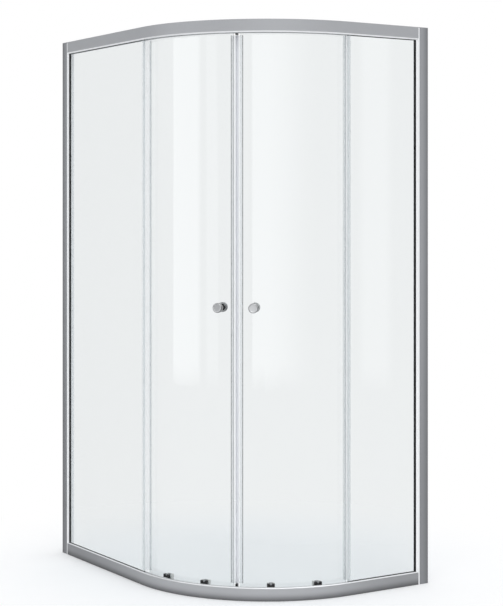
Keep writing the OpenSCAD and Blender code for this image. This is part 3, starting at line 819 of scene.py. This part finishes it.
class Shape:
    """A closed mesh under construction, with the angle from which its edges are drawn sharp."""

    sharp_from: float = 32.0

    def __init__(self) -> None:
        """Starts an empty mesh."""
        self.mesh = bmesh.new()

    def lathe(self, outline: Outline, finish: int = 0, sides: int = 72) -> "Shape":
        """Turns a closed outline round Z.

        Args:
            outline: Radius and height of each corner, running round the section.
            finish: Which finish its faces take.
            sides: How many steps the turn has.

        Returns:
            This shape.
        """
        rings = []
        for radius, height in outline:
            if radius <= 0:
                rings.append([self.mesh.verts.new((0, 0, height))])
            else:
                angles = [2 * math.pi * i / sides for i in range(sides)]
                rings.append([self.mesh.verts.new((radius * math.cos(a), radius * math.sin(a), height))
                              for a in angles])
        for first, second in zip(rings, rings[1:] + rings[:1]):
            if len(first) == len(second) == 1:
                continue
            for i in range(sides):
                j = (i + 1) % sides
                corners = ([first[0]] if len(first) == 1 else [first[i], first[j]]) + (
                    [second[0]] if len(second) == 1 else [second[j], second[i]])
                self.mesh.faces.new(corners).material_index = finish
        return self

    def slab(self, outline: Outline, low: float, high: float, finish: int = 0,
             edge: float = 0.0003) -> "Shape":
        """Raises an outline in X and Z between two depths along Y and rounds all its edges.

        Args:
            outline: The corners, in X and Z.
            low: Depth of the front face.
            high: Depth of the rear face.
            finish: Which finish its faces take.
            edge: Radius of the edges.

        Returns:
            This shape.
        """
        front = [self.mesh.verts.new((x, low, z)) for x, z in outline]
        rear = [self.mesh.verts.new((x, high, z)) for x, z in outline]
        faces = [self.mesh.faces.new(front), self.mesh.faces.new(rear[::-1])]
        for i, corner in enumerate(front):
            j = (i + 1) % len(front)
            faces.append(self.mesh.faces.new([front[j], corner, rear[i], rear[j]]))
        for face in faces:
            face.material_index = finish
        if edge:
            edges = dict.fromkeys(e for face in faces for e in face.edges)
            bmesh.ops.bevel(self.mesh, geom=list(edges), offset=edge, segments=2, profile=0.6,
                            affect="EDGES", clamp_overlap=True, material=finish)
        return self

    def box(self, low: Sequence[float], high: Sequence[float], finish: int = 0,
            edge: float = 0.0003) -> "Shape":
        """A block with rounded edges from one corner to the other."""
        outline = [(low[0], low[2]), (high[0], low[2]), (high[0], high[2]), (low[0], high[2])]
        return self.slab(outline, low[1], high[1], finish, edge)

    def piece(self, name: str, where: Matrix, body: str, finishes: Sequence[Finish],
              replaces: Sequence[str] = ()) -> None:
        """Makes the object, puts it in place and lets it ride on a body.

        Args:
            name: The piece's name.
            where: Its frame.
            body: The body that carries it.
            finishes: Its finishes, in the order that its faces name.
            replaces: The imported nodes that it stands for.
        """
        bmesh.ops.recalc_face_normals(self.mesh, faces=self.mesh.faces)
        data = bpy.data.meshes.new(name)
        self.mesh.to_mesh(data)
        self.mesh.free()
        for finish in finishes:
            data.materials.append(finish.material())
        for polygon in data.polygons:
            polygon.use_smooth = True
        data.set_sharp_from_angle(angle=math.radians(self.sharp_from))
        made = placed(name, data)
        made.matrix_world = where
        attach(made, body)
        if replaces:
            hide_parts(*replaces)
        LOG.info("piece %s rides on %s with %d faces", name, body, len(data.polygons))


def rounded(points: Outline, radius: float, steps: int = 4) -> Outline:
    """Rounds each corner of a closed outline.

    Args:
        points: The corners.
        radius: The radius of every corner, cut down where a side is short.
        steps: How many steps each round has.

    Returns:
        The new outline.
    """
    made = []
    for i, point in enumerate(points):
        here, before, after = Vector(point), Vector(points[i - 1]), Vector(points[(i + 1) % len(points)])
        reach = min(radius, (before - here).length * 0.45, (after - here).length * 0.45)
        start = here + (before - here).normalized() * reach
        end = here + (after - here).normalized() * reach
        for k in range(steps + 1):
            t = k / steps
            spot = start * (1 - t) ** 2 + here * 2 * t * (1 - t) + end * t ** 2
            made.append((spot.x, spot.y))
    return made


@dataclass(frozen=True)
class Knob:
    """A round door knob: foot, waist and a head with a shallow dish in its face."""

    side: str
    place: str
    foot_r: float = 0.0095
    foot_t: float = 0.002625
    waist_r: float = 0.0075
    waist_from: float = 0.004725
    waist_to: float = 0.00792
    neck_r: float = 0.00975
    head_r: float = 0.017
    head_from: float = 0.011
    shoulder: float = 0.0016
    slope: float = 0.0002
    bevel: float = 0.0022
    length: float = 0.028
    dish_r: float = 0.01324
    dish_floor_r: float = 0.01234
    dish_middle_r: float = 0.00697
    dish: float = 0.0006
    dish_middle: float = 0.00048
    dish_centre: float = 0.00042
    bore_r: float = 0.0041
    bore: float = 0.012
    corner_r: float = 0.0009
    corner_steps: int = 4

    def outline(self) -> Outline:
        """Draws the section, from the bore at the foot round the head to its middle.

        Returns:
            The closed outline, as radius and height.
        """
        corners = [
            (self.bore_r, 0.0), (self.foot_r, 0.0), (self.foot_r, self.foot_t),
            (self.waist_r, self.waist_from), (self.waist_r, self.waist_to), (self.neck_r, self.head_from),
            (self.head_r - self.shoulder + self.slope, self.head_from + self.slope),
            (self.head_r, self.head_from + self.shoulder), (self.head_r, self.length - self.bevel),
            (self.head_r - self.bevel, self.length), (self.dish_r, self.length),
            (self.dish_floor_r, self.length - self.dish),
            (self.dish_middle_r, self.length - self.dish_middle),
        ]
        first = self.corner_steps + 1
        soft = rounded(corners, self.corner_r, self.corner_steps)[first:-first]
        return [(self.bore_r, 0.0), *soft, (0.0, self.length - self.dish_centre), (0.0, self.bore),
                (self.bore_r, self.bore)]

    def build(self, bend: Bend) -> None:
        """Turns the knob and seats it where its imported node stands.

        Args:
            bend: The cabin's bend.
        """
        node = f"knob_{self.place}_{self.side}"
        low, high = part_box(node)
        middle = (low + high) / 2
        outer = self.place == "outer"
        away = bend.outward(middle) * (1 if outer else -1)
        seat = middle - away * self.length / 2
        Shape().lathe(self.outline(), 0, 96).piece(
            f"turned_{node}", bend.turned(seat, outer), f"door_{self.side}", [KNOB_METAL], [node])


@dataclass(frozen=True)
class Roller:
    """A wheel: a nylon tyre with a rounded tread round a steel ball bearing."""

    radius: float
    bore: float
    width: float = 0.005
    crown: float = 0.0004
    tyre_seat: float = 0.86
    tyre_step: float = 0.35
    tyre_slope: float = 1.25
    tread_r: float = 0.0005
    race: float = 0.0036
    ring_t: float = 0.0011
    ring_share: float = 0.8
    ring_round: float = 0.0002
    recess: float = 0.0013
    shield_share: float = 0.62
    shield_sunk: float = 0.8

    def tyre(self) -> Outline:
        """Draws the tyre's section, round its tread, side faces and seat.

        Returns:
            The closed outline, as radius and height.
        """
        seat, rim, half = self.bore + self.race, self.radius, self.width / 2
        step, low_half = (rim - seat) * self.tyre_step, half * self.tyre_seat
        corners = [(seat, -low_half), (seat + step, -low_half), (seat + step * self.tyre_slope, -half),
                   (rim - self.crown, -half), (rim, 0.0), (rim - self.crown, half),
                   (seat + step * self.tyre_slope, half), (seat + step, low_half), (seat, low_half)]
        return rounded(corners, self.tread_r, 3)

    def build(self, name: str, where: Matrix, body: str) -> None:
        """Makes the wheel about its own axis.

        Args:
            name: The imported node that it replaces.
            where: Its frame, with Z along the axis and out of the cabin.
            body: The body that carries it.
        """
        half = self.width / 2
        outer, inner = self.bore + self.race, self.bore
        face, deep = half * self.ring_share, half - self.recess
        shape = Shape().lathe(self.tyre(), 0)
        for high, low, front in ((outer, outer - self.ring_t, face), (inner + self.ring_t, inner, deep)):
            ring = [(low, -face), (high, -face), (high, front), (low, front)]
            shape.lathe(rounded(ring, self.ring_round, 2), 1)
        left, right = inner + self.ring_t, outer - self.ring_t
        rear, shield = half * self.shield_share, deep * self.shield_sunk
        shape.lathe([(left, -rear), (right, -rear), (right, shield), (left, shield)], 2)
        shape.piece(f"rolling_{name}", where, body, [NYLON, STEEL, BLACK], [name])


@dataclass(frozen=True)
class DomedNut:
    """The bright domed nut on the inner face of a door that holds an upper wheel's axle."""

    radius: float = 0.0095
    rim: float = 0.0018
    foot_edge: float = 0.0003
    rim_edge: Span = (0.0006, 0.0005)
    dome_r: float = 0.0076
    dome_step: int = 6
    height: float = 0.0085
    bore_r: float = 0.00305
    bore: float = 0.0082

    def build(self, name: str, where: Matrix, body: str, node: str) -> None:
        """Turns the nut with a flange and a dome, and seats it on the glass.

        Args:
            name: The piece's name.
            where: Its frame, with Z into the cabin.
            body: The body that carries it.
            node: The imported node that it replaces.
        """
        rise = self.height - self.rim
        edge_r, edge_z = self.rim_edge
        dome = [(self.dome_r * math.cos(a), self.rim + rise * math.sin(a))
                for a in (math.radians(d) for d in range(0, 90, self.dome_step))]
        outline = [(self.bore_r, 0.0), (self.radius - self.foot_edge, 0.0), (self.radius, self.foot_edge),
                   (self.radius, self.rim - edge_z), (self.radius - edge_r, self.rim), *dome,
                   (0.0, self.height), (0.0, self.bore), (self.bore_r, self.bore)]
        Shape().lathe(outline).piece(name, where, body, [NUT_METAL], [node])


@dataclass(frozen=True)
class GuidePart:
    """What the parts of a lower guide share: its door and end, the glass, and the sizes at which they meet.

    A part's frame stands on the floor at the lower wheel, with Y into the cabin.
    """

    side: str
    end: str
    width: float = 0.027
    top: float = 0.054
    glass_out: float = 0.0144
    glass_t: float = 0.006
    housing_n: float = 0.0134
    housing_low: float = 0.012
    button_w: float = 0.013
    button_n: float = 0.008
    button_side: float = 0.002
    lap: float = 0.0002

    def named(self, word: str) -> str:
        """A piece's name, with the guide's side and end."""
        return f"{word}_{self.side}_{self.end}"

    def turn(self, word: str, outline: Outline, seat: Matrix, body: str, finish: Finish, out: bool = False,
             sides: int = 48) -> None:
        """Turns a small round piece whose axis runs into the cabin or out of it.

        Args:
            word: What the piece is called.
            outline: Its closed section, as radius and height.
            seat: The frame of its foot, with Y into the cabin.
            body: The body that carries it.
            finish: Its finish.
            out: Whether it stands out of the cabin.
            sides: How many steps the turn has.
        """
        along = seat @ Matrix.Rotation(math.pi / 2 * (1 if out else -1), 4, "X")
        Shape().lathe(outline, 0, sides).piece(self.named(word), along, body, [finish])


@dataclass(frozen=True)
class ClampBlock(GuidePart):
    """The black block outside the glass: base, cheeks, grey tab in its scooped top, boss and two studs."""

    low: float = 0.0415
    block_t: float = 0.0094
    glass_gap: float = 0.0001
    base_sunk: float = 0.0009
    base_inset: float = 0.0012
    base_round: float = 0.0008
    base_edge: float = 0.00015
    cheek_w: float = 0.0042
    cheek_waist: float = 0.0064
    cheek_round: float = 0.001
    edge: float = 0.0002
    scoop_half: float = 0.0047
    scoop_floor: float = 0.002115
    scoop_deep: float = 0.0056
    tab_half: float = 0.00376
    tab_foot: float = 0.001786
    tab_up: float = 0.0006
    tab_brow: float = 0.0001
    tab_peak: float = 0.0012
    tab_sunk: float = 0.0013
    tab_back: float = 0.0004
    boss_r: float = 0.0026
    boss_t: float = 0.0016
    boss_edge: Span = (0.0005, 0.0004)
    boss_up: float = 0.0032
    boss_sunk: float = 0.0017
    dimple_r: float = 0.0013
    dimple_foot: float = 0.0009
    dimple_z: float = 0.0007
    stud_r: float = 0.00195
    stud_tip_r: float = 0.0015
    stud_edge: float = 0.0004
    stud_x: float = 0.01
    stud_sunk: float = 0.0006
    stud_past: float = 0.0094

    def build(self, where: Matrix) -> None:
        """Makes the block, its boss and the studs that pass through the glass into the housing.

        Args:
            where: The guide's frame.
        """
        body = f"door_{self.side}"
        rear = self.glass_out - self.glass_gap
        front = rear - self.block_t
        self.block(front, rear).piece(self.named("clamp_plate"), where, body, [BLACK, TAB_GREY],
                                      [f"guide_clamps_{self.side}"])
        edge_r, edge_z = self.boss_edge
        boss = [(0.0, 0.0), (self.boss_r, 0.0), (self.boss_r, self.boss_t - edge_z),
                (self.boss_r - edge_r, self.boss_t), (self.dimple_r, self.boss_t),
                (self.dimple_foot, self.dimple_z), (0.0, self.dimple_z)]
        seat = where @ Matrix.Translation((0, front + self.boss_sunk, self.low + self.boss_up))
        self.turn("clamp_boss", boss, seat, body, BLACK, out=True)
        length = self.glass_t + self.stud_past
        stud = [(0.0, 0.0), (self.stud_r, 0.0), (self.stud_r, length - self.stud_edge),
                (self.stud_tip_r, length), (0.0, length)]
        middle = (self.low + self.top) / 2
        for turn, word in ((-1, "a"), (1, "b")):
            seat = where @ Matrix.Translation((turn * self.stud_x, rear - self.stud_sunk, middle))
            self.turn(f"clamp_stud_{word}", stud, seat, body, BLACK, sides=32)

    def block(self, front: float, rear: float) -> Shape:
        """Builds the base with its scooped top, a cheek at each side and the grey tab in the scoop.

        Args:
            front: Depth of the block's front.
            rear: Depth of its rear.

        Returns:
            The block, whose second finish is the tab's.
        """
        half, low, top = self.width / 2, self.low, self.top
        side, brow, floor = half - self.base_inset, top - self.lap, top - self.scoop_deep
        base = [(-side, low), (side, low), (side, brow), (self.scoop_half, brow), (self.scoop_floor, floor),
                (-self.scoop_floor, floor), (-self.scoop_half, brow), (-side, brow)]
        shape = Shape().slab(rounded(base, self.base_round, 2), front + self.base_sunk, rear, 0,
                             self.base_edge)
        for turn in (-1, 1):
            inner, waist = turn * (half - self.cheek_w), turn * (half - self.cheek_waist)
            cheek = [(turn * half, low), (turn * half, top), (inner, top), (waist, (low + top) / 2),
                     (inner, low)]
            shape.slab(rounded(cheek, self.cheek_round, 3), front, rear - self.lap, 0, self.edge)
        foot, ear = floor + self.tab_up, top + self.tab_brow
        tab = [(-self.tab_half, ear), (-self.tab_foot, foot), (self.tab_foot, foot), (self.tab_half, ear),
               (0.0, top + self.tab_peak)]
        return shape.slab(rounded(tab, self.base_round, 3), front + self.tab_sunk, rear - self.tab_back, 1,
                          self.edge)


@dataclass(frozen=True)
class GuideHousing(GuidePart):
    """The white housing inside the glass: two ribbed walls, a floor, and a back with a slot for the grip."""

    glass_gap: float = 0.0003
    button_gap: float = 0.0002
    wall_round: float = 0.0012
    wall_edge: float = 0.0003
    edge: float = 0.0002
    floor_t: float = 0.002
    sill: float = 0.029
    strip_down: float = 0.0003
    rib_count: int = 3
    rib_first: float = 0.0016
    rib_pitch: float = 0.0018
    rib_half: float = 0.0005
    rib_end: float = 0.006
    rib_out: float = 0.0004
    rib_edge: float = 0.00015

    def build(self, where: Matrix) -> None:
        """Makes the housing round the room in which the button slides.

        Args:
            where: The guide's frame.
        """
        half, low, top = self.width / 2, self.housing_low, self.top
        inner = self.glass_out + self.glass_t
        seat, back = inner + self.glass_gap, inner + self.housing_n
        room, slot = self.button_w / 2 + self.button_gap, self.button_w / 4
        shape = Shape()
        for left, right in ((-half, -room), (room, half)):
            wall = [(left, low), (right, low), (right, top), (left, top)]
            shape.slab(rounded(wall, self.wall_round, 3), seat, back, 0, self.wall_edge)
        reach, floor = room + self.lap, low + self.floor_t
        shape.box((-reach, seat, low), (reach, back, floor), 0, self.edge)
        back_from = inner + self.button_side + self.button_n + self.button_gap
        shape.box((-reach, back_from, floor - self.lap), (reach, back, self.sill), 0, self.edge)
        for turn in (-1, 1):
            left, right = sorted((turn * slot, turn * reach))
            shape.box((left, back_from, self.sill - self.lap), (right, back, top - self.strip_down), 0,
                      self.edge)
            for i in range(self.rib_count):
                x = turn * (room + self.rib_first + i * self.rib_pitch)
                shape.box((x - self.rib_half, back - self.lap, low + self.rib_end),
                          (x + self.rib_half, back + self.rib_out, top - self.rib_end), 0, self.rib_edge)
        shape.piece(self.named("guide_housing"), where, f"door_{self.side}", [NYLON],
                    [f"guide_blocks_{self.side}"])


@dataclass(frozen=True)
class PushButton(GuidePart):
    """The push button: a head on two legs, a ridged thumb grip and the axle of the lower wheel."""

    sunk: float = 0.0003
    leg_up: float = 0.010
    leg_inner: float = 0.0031
    leg_top: float = 0.0345
    leg_edge: float = 0.0003
    head_edge: float = 0.0006
    grip_gap: float = 0.0003
    grip_up: float = 0.010
    grip_down: float = 0.002
    grip_out: float = 0.0011
    grip_edge: float = 0.0004
    ridge_count: int = 4
    ridge_first: float = 0.0125
    ridge_pitch: float = 0.0028
    ridge_t: float = 0.0012
    ridge_inset: float = 0.0004
    ridge_out: float = 0.0015
    ridge_edge: float = 0.0002
    pin_r: float = 0.003
    pin_length: float = 0.0196
    pin_from: float = -0.0024
    rivet_r: float = 0.0046
    rivet_taper: float = 0.0001
    rivet_side: float = 0.0006
    rivet_t: float = 0.0008

    def build(self, where: Matrix, axle_z: float) -> None:
        """Makes the button and the axle with its flat rivet head.

        Args:
            where: The guide's frame.
            axle_z: The axle's height over the floor.
        """
        inner, half = self.glass_out + self.glass_t, self.button_w / 2
        front = inner + self.button_side
        back = front + self.button_n
        shape = Shape()
        for turn in (-1, 1):
            left, right = sorted((turn * half, turn * self.leg_inner))
            shape.box((left, front, self.housing_low + self.leg_up), (right, back, self.leg_top), 0,
                      self.leg_edge)
        shape.box((-half, front, self.leg_top - self.sunk), (half, back, self.top), 0, self.head_edge)
        grip, grip_back = self.button_w / 4 - self.grip_gap, inner + self.housing_n + self.grip_out
        shape.box((-grip, back - self.sunk, axle_z + self.grip_up),
                  (grip, grip_back, self.top - self.grip_down), 0, self.grip_edge)
        ridge, ridge_back = grip - self.ridge_inset, inner + self.housing_n + self.ridge_out
        for i in range(self.ridge_count):
            z = axle_z + self.ridge_first + i * self.ridge_pitch
            shape.box((-ridge, grip_back - self.lap, z), (ridge, ridge_back, z + self.ridge_t), 0,
                      self.ridge_edge)
        body = self.named("release_slider")
        shape.piece(self.named("push_button"), where, body, [CAP_GREY], [body])
        pin = [(0.0, 0.0), (self.rivet_r - self.rivet_taper, 0.0), (self.rivet_r, self.rivet_side),
               (self.pin_r, self.rivet_t), (self.pin_r, self.pin_length), (0.0, self.pin_length)]
        seat = where @ Matrix.Translation((0, self.pin_from, axle_z))
        self.turn("guide_axle", pin, seat, body, STEEL)


@dataclass(frozen=True)
class LowerGuide:
    """A lower guide: black clamp block outside the glass, white housing inside it and its push button."""

    side: str
    end: str

    def build(self, bend: Bend, joint: dict) -> None:
        """Makes the guide's parts at its lower wheel.

        Args:
            bend: The cabin's bend.
            joint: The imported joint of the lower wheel.
        """
        axle = Vector(joint["pos_m"])
        where = bend.upright(Vector((axle.x, axle.y, 0.0)))
        ClampBlock(self.side, self.end).build(where)
        GuideHousing(self.side, self.end).build(where)
        PushButton(self.side, self.end).build(where, axle.z)


@dataclass(frozen=True)
class Door:
    """One sliding door: its pane, seals, knobs, wheels and guides."""

    side: str
    wheel_r: float = 0.011
    guide_r: float = 0.009
    axle_bore: float = 0.00405
    pin_bore: float = 0.00305
    glass_in: float = 0.0204
    nut_seat: float = 0.00017

    def finishes(self) -> dict[str, Finish]:
        """Lists the finishes of this door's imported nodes.

        Returns:
            The finish of each node by its name.
        """
        named = {
            "door_glass": PANE, "magnet_profile": FOLDED_SEAL if self.side == "left" else MAGNET_SEAL,
            "magnet_strip": MAGNET, "rear_seal": SHADED_REAR_SEAL,
            "knob_stud": STEEL, "knob_washers": GASKET, "roller_axles": STEEL, "roller_screws": STEEL,
            "knob_outer": KNOB_METAL, "knob_inner": KNOB_METAL, "roller_caps": NUT_METAL,
            "guide_blocks": NYLON, "guide_clamps": BLACK,
        }
        made = {f"{name}_{self.side}": finish for name, finish in named.items()}
        per_end = {"spring": STEEL, "top_wheel": NYLON, "guide_wheel": NYLON, "release_slider": CAP_GREY}
        for end in ENDS:
            made.update({f"{name}_{self.side}_{end}": finish for name, finish in per_end.items()})
        return made

    def build(self, bend: Bend, joints: dict[str, dict]) -> None:
        """Makes the door's finer pieces.

        Args:
            bend: The cabin's bend.
            joints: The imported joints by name.
        """
        for place in ("outer", "inner"):
            Knob(self.side, place).build(bend)
        for end in ENDS:
            top = f"top_wheel_{self.side}_{end}"
            hub = Vector(joints[f"{top}_spin"]["pos_m"])
            Roller(self.wheel_r, self.axle_bore).build(top, bend.turned(hub, True), top)
            seat = hub - bend.outward(hub) * (self.glass_in + self.nut_seat)
            DomedNut().build(f"domed_nut_{self.side}_{end}", bend.turned(seat, False), f"door_{self.side}",
                             f"roller_caps_{self.side}")
            low = f"guide_wheel_{self.side}_{end}"
            joint = joints[f"{low}_spin"]
            Roller(self.guide_r, self.pin_bore).build(low, bend.turned(Vector(joint["pos_m"]), True), low)
            LowerGuide(self.side, end).build(bend, joint)


@dataclass(frozen=True)
class FixedFrame:
    """The rails, wall channels, fixed panes and what holds them."""

    def finishes(self) -> dict[str, Finish]:
        """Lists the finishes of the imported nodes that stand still.

        Returns:
            The finish of each node by its name.
        """
        made: dict[str, Finish] = {
            "top_rail": TOP_RAIL, "bottom_rail": LOW_RAIL, "glass_gaskets": GASKET, "edge_seals": SEAL,
            "glass_packers": BLACK, "rail_screws": STEEL, "adjustment_screws": STEEL, "screw_caps": CAP_GREY,
            "profile_caps": CAP_GREY, "centre_stops": BLACK, "end_stops": BLACK,
        }
        for side in SIDES:
            made[f"wall_profile_{side}"] = WALL_METAL
            made[f"frame_profile_{side}"] = HIGHLIT_STEP_METAL
            made[f"fixed_glass_{side}"] = FIXED_PANE
        return made


@dataclass(frozen=True)
class Panel:
    """A pale upright panel of the surroundings, by the compass angles over which it rises and falls."""

    rise: Span
    fall: Span
    share: float = 1.0

    def seen(self, graph: Graph, around: Term) -> Term:
        """How much of the panel is seen at an angle."""
        return graph.step(around, *self.rise) * (1 - graph.step(around, *self.fall)) * self.share


@dataclass(frozen=True)
class Lamp:
    """A wide soft sun, with the way that it shines and its spread in degrees."""

    name: str
    way: Place
    strength: float
    spread: float

    def build(self) -> None:
        """Makes the sun and aims it."""
        data = bpy.data.lights.new(self.name, "SUN")
        data.energy, data.angle = self.strength, math.radians(self.spread)
        aim(placed(self.name, data), self.way)


@dataclass(frozen=True)
class Studio:
    """Floor, daylight-like world, soft lamps and the camera of the photograph's view."""

    eye: Place = (-3.1841, -5.0683, 1.3349)
    looks: Place = (0.5395, 0.8420, 0.0)
    lens: float = 94.42
    sensor: float = 36.0
    shift: float = -0.1494
    clip_end: float = 100.0
    floor_r: float = 7.0
    floor_down: float = 0.0005
    floor_fades: Span = (0.5, 1.4)
    floor_tones: tuple[Colour, Colour] = ((0.955, 0.962, 0.972), (0.98, 0.984, 0.99))
    floor_grain: Span = (4.0, 4.0)
    floor_gloss: Span = (0.6, 0.1)
    room: Colour = (0.56, 0.57, 0.58)
    daylight: Colour = (0.97, 0.985, 1.0)
    day: float = 0.74
    sky: Span = (0.25, 0.9)
    sky_share: float = 0.4
    panel_light: float = 2.2
    panel_span: Span = (-0.105, 0.6)
    panel_soft: float = 0.012
    panels: tuple[Panel, ...] = (
        Panel((149.0, 152.0), (175.5, 178.5)), Panel((183.0, 187.0), (192.0, 196.0), 0.45),
        Panel((223.5, 226.5), (234.0, 282.0)), Panel((306.4, 306.8), (307.4, 307.8), 0.5),
    )
    lamps: tuple[Lamp, ...] = (
        Lamp("key", (0.25, 0.62, -0.95), 0.88, 50.0), Lamp("fill", (-0.6, 0.25, -0.8), 0.35, 80.0),
    )

    def build(self) -> None:
        """Makes the camera, the floor, the world and the lamps."""
        self.camera()
        self.floor()
        self.world()
        for lamp in self.lamps:
            lamp.build()

    def camera(self) -> None:
        """The camera, level and turned to the cabin's bend."""
        data = bpy.data.cameras.new("camera")
        data.lens, data.sensor_width, data.shift_y = self.lens, self.sensor, self.shift
        data.clip_end = self.clip_end
        made = placed("camera", data)
        made.location = self.eye
        aim(made, self.looks)
        bpy.context.scene.camera = made

    def floor(self) -> None:
        """A pale floor whose rim melts into the white surroundings."""
        shape = bmesh.new()
        bmesh.ops.create_circle(shape, cap_ends=True, segments=96, radius=self.floor_r)
        data = bpy.data.meshes.new("floor")
        shape.to_mesh(data)
        shape.free()
        made = placed("floor", data)
        made.location.z = -self.floor_down
        material = bpy.data.materials.new("pale_floor")
        graph = Graph(material)
        point = graph.place()
        x, y, _ = graph.split(point)
        far = graph.step((x * x + y * y) ** 0.5, *self.floor_fades)
        grain = graph.noise(point, *self.floor_grain)
        roughness, swing = self.floor_gloss
        lit = graph.shader(Base_Color=graph.blend(grain, *self.floor_tones),
                           Roughness=roughness + grain * swing)
        white, pale = (graph.glow("ShaderNodeEmission", colour) for colour in (WHITE, self.room))
        surroundings = graph.mixed(graph.ray("Is Camera Ray", "Is Transmission Ray"), pale, white)
        seen = graph.ray("Is Camera Ray", "Is Glossy Ray", "Is Transmission Ray")
        graph.finish(graph.mixed(far * seen, lit, surroundings))
        data.materials.append(material)
        made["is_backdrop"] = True

    def world(self) -> None:
        """White to the camera, even daylight for matt surfaces, and large soft panels for what mirrors."""
        world = bpy.data.worlds.new("studio")
        bpy.context.scene.world = world
        graph = Graph(world)
        x, y, z = graph.split(graph.node("ShaderNodeTexCoord").outputs["Generated"])
        turn = y.bearing(x) * (180 / math.pi)
        around = turn + (1 - graph.step(turn, 0.0, 0.001)) * 360
        tall = graph.window(z, *self.panel_span, self.panel_soft)
        pale = sum(panel.seen(graph, around) for panel in self.panels) * tall
        pale = pale + graph.step(z, *self.sky) * self.sky_share
        mirrored = graph.blend(pale, toned(self.room, 1 / self.panel_light), self.daylight)
        studio = graph.glow("ShaderNodeBackground", mirrored, self.panel_light)
        day = graph.glow("ShaderNodeBackground", self.daylight, self.day)
        white = graph.glow("ShaderNodeBackground", WHITE)
        lit = graph.mixed(graph.ray("Is Glossy Ray"), day, studio)
        shown = graph.mixed(graph.ray("Is Camera Ray", "Is Transmission Ray"), lit, white)
        graph.node("ShaderNodeOutputWorld", None, {0: shown})


def dress(finishes: dict[str, Finish]) -> None:
    """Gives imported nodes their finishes.

    Args:
        finishes: The finish of each node.
    """
    for name, finish in finishes.items():
        node = frame["nodes"][name]
        if not node.material_slots:
            node.data.materials.append(None)
        for slot in node.material_slots:
            slot.material = finish.material()
        LOG.info("node %s has finish %s", name, finish.name)


def main() -> None:
    """Builds the studio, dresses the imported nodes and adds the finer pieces."""
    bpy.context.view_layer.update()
    bpy.context.scene.view_settings.view_transform = "Standard"
    Studio().build()
    bend = Bend.from_joints(frame["joints"])
    joints = {joint["name"]: joint for joint in frame["joints"]}
    dress(FixedFrame().finishes())
    for side in SIDES:
        door = Door(side)
        dress(door.finishes())
        door.build(bend, joints)


if __name__ == "__main__":
    main()
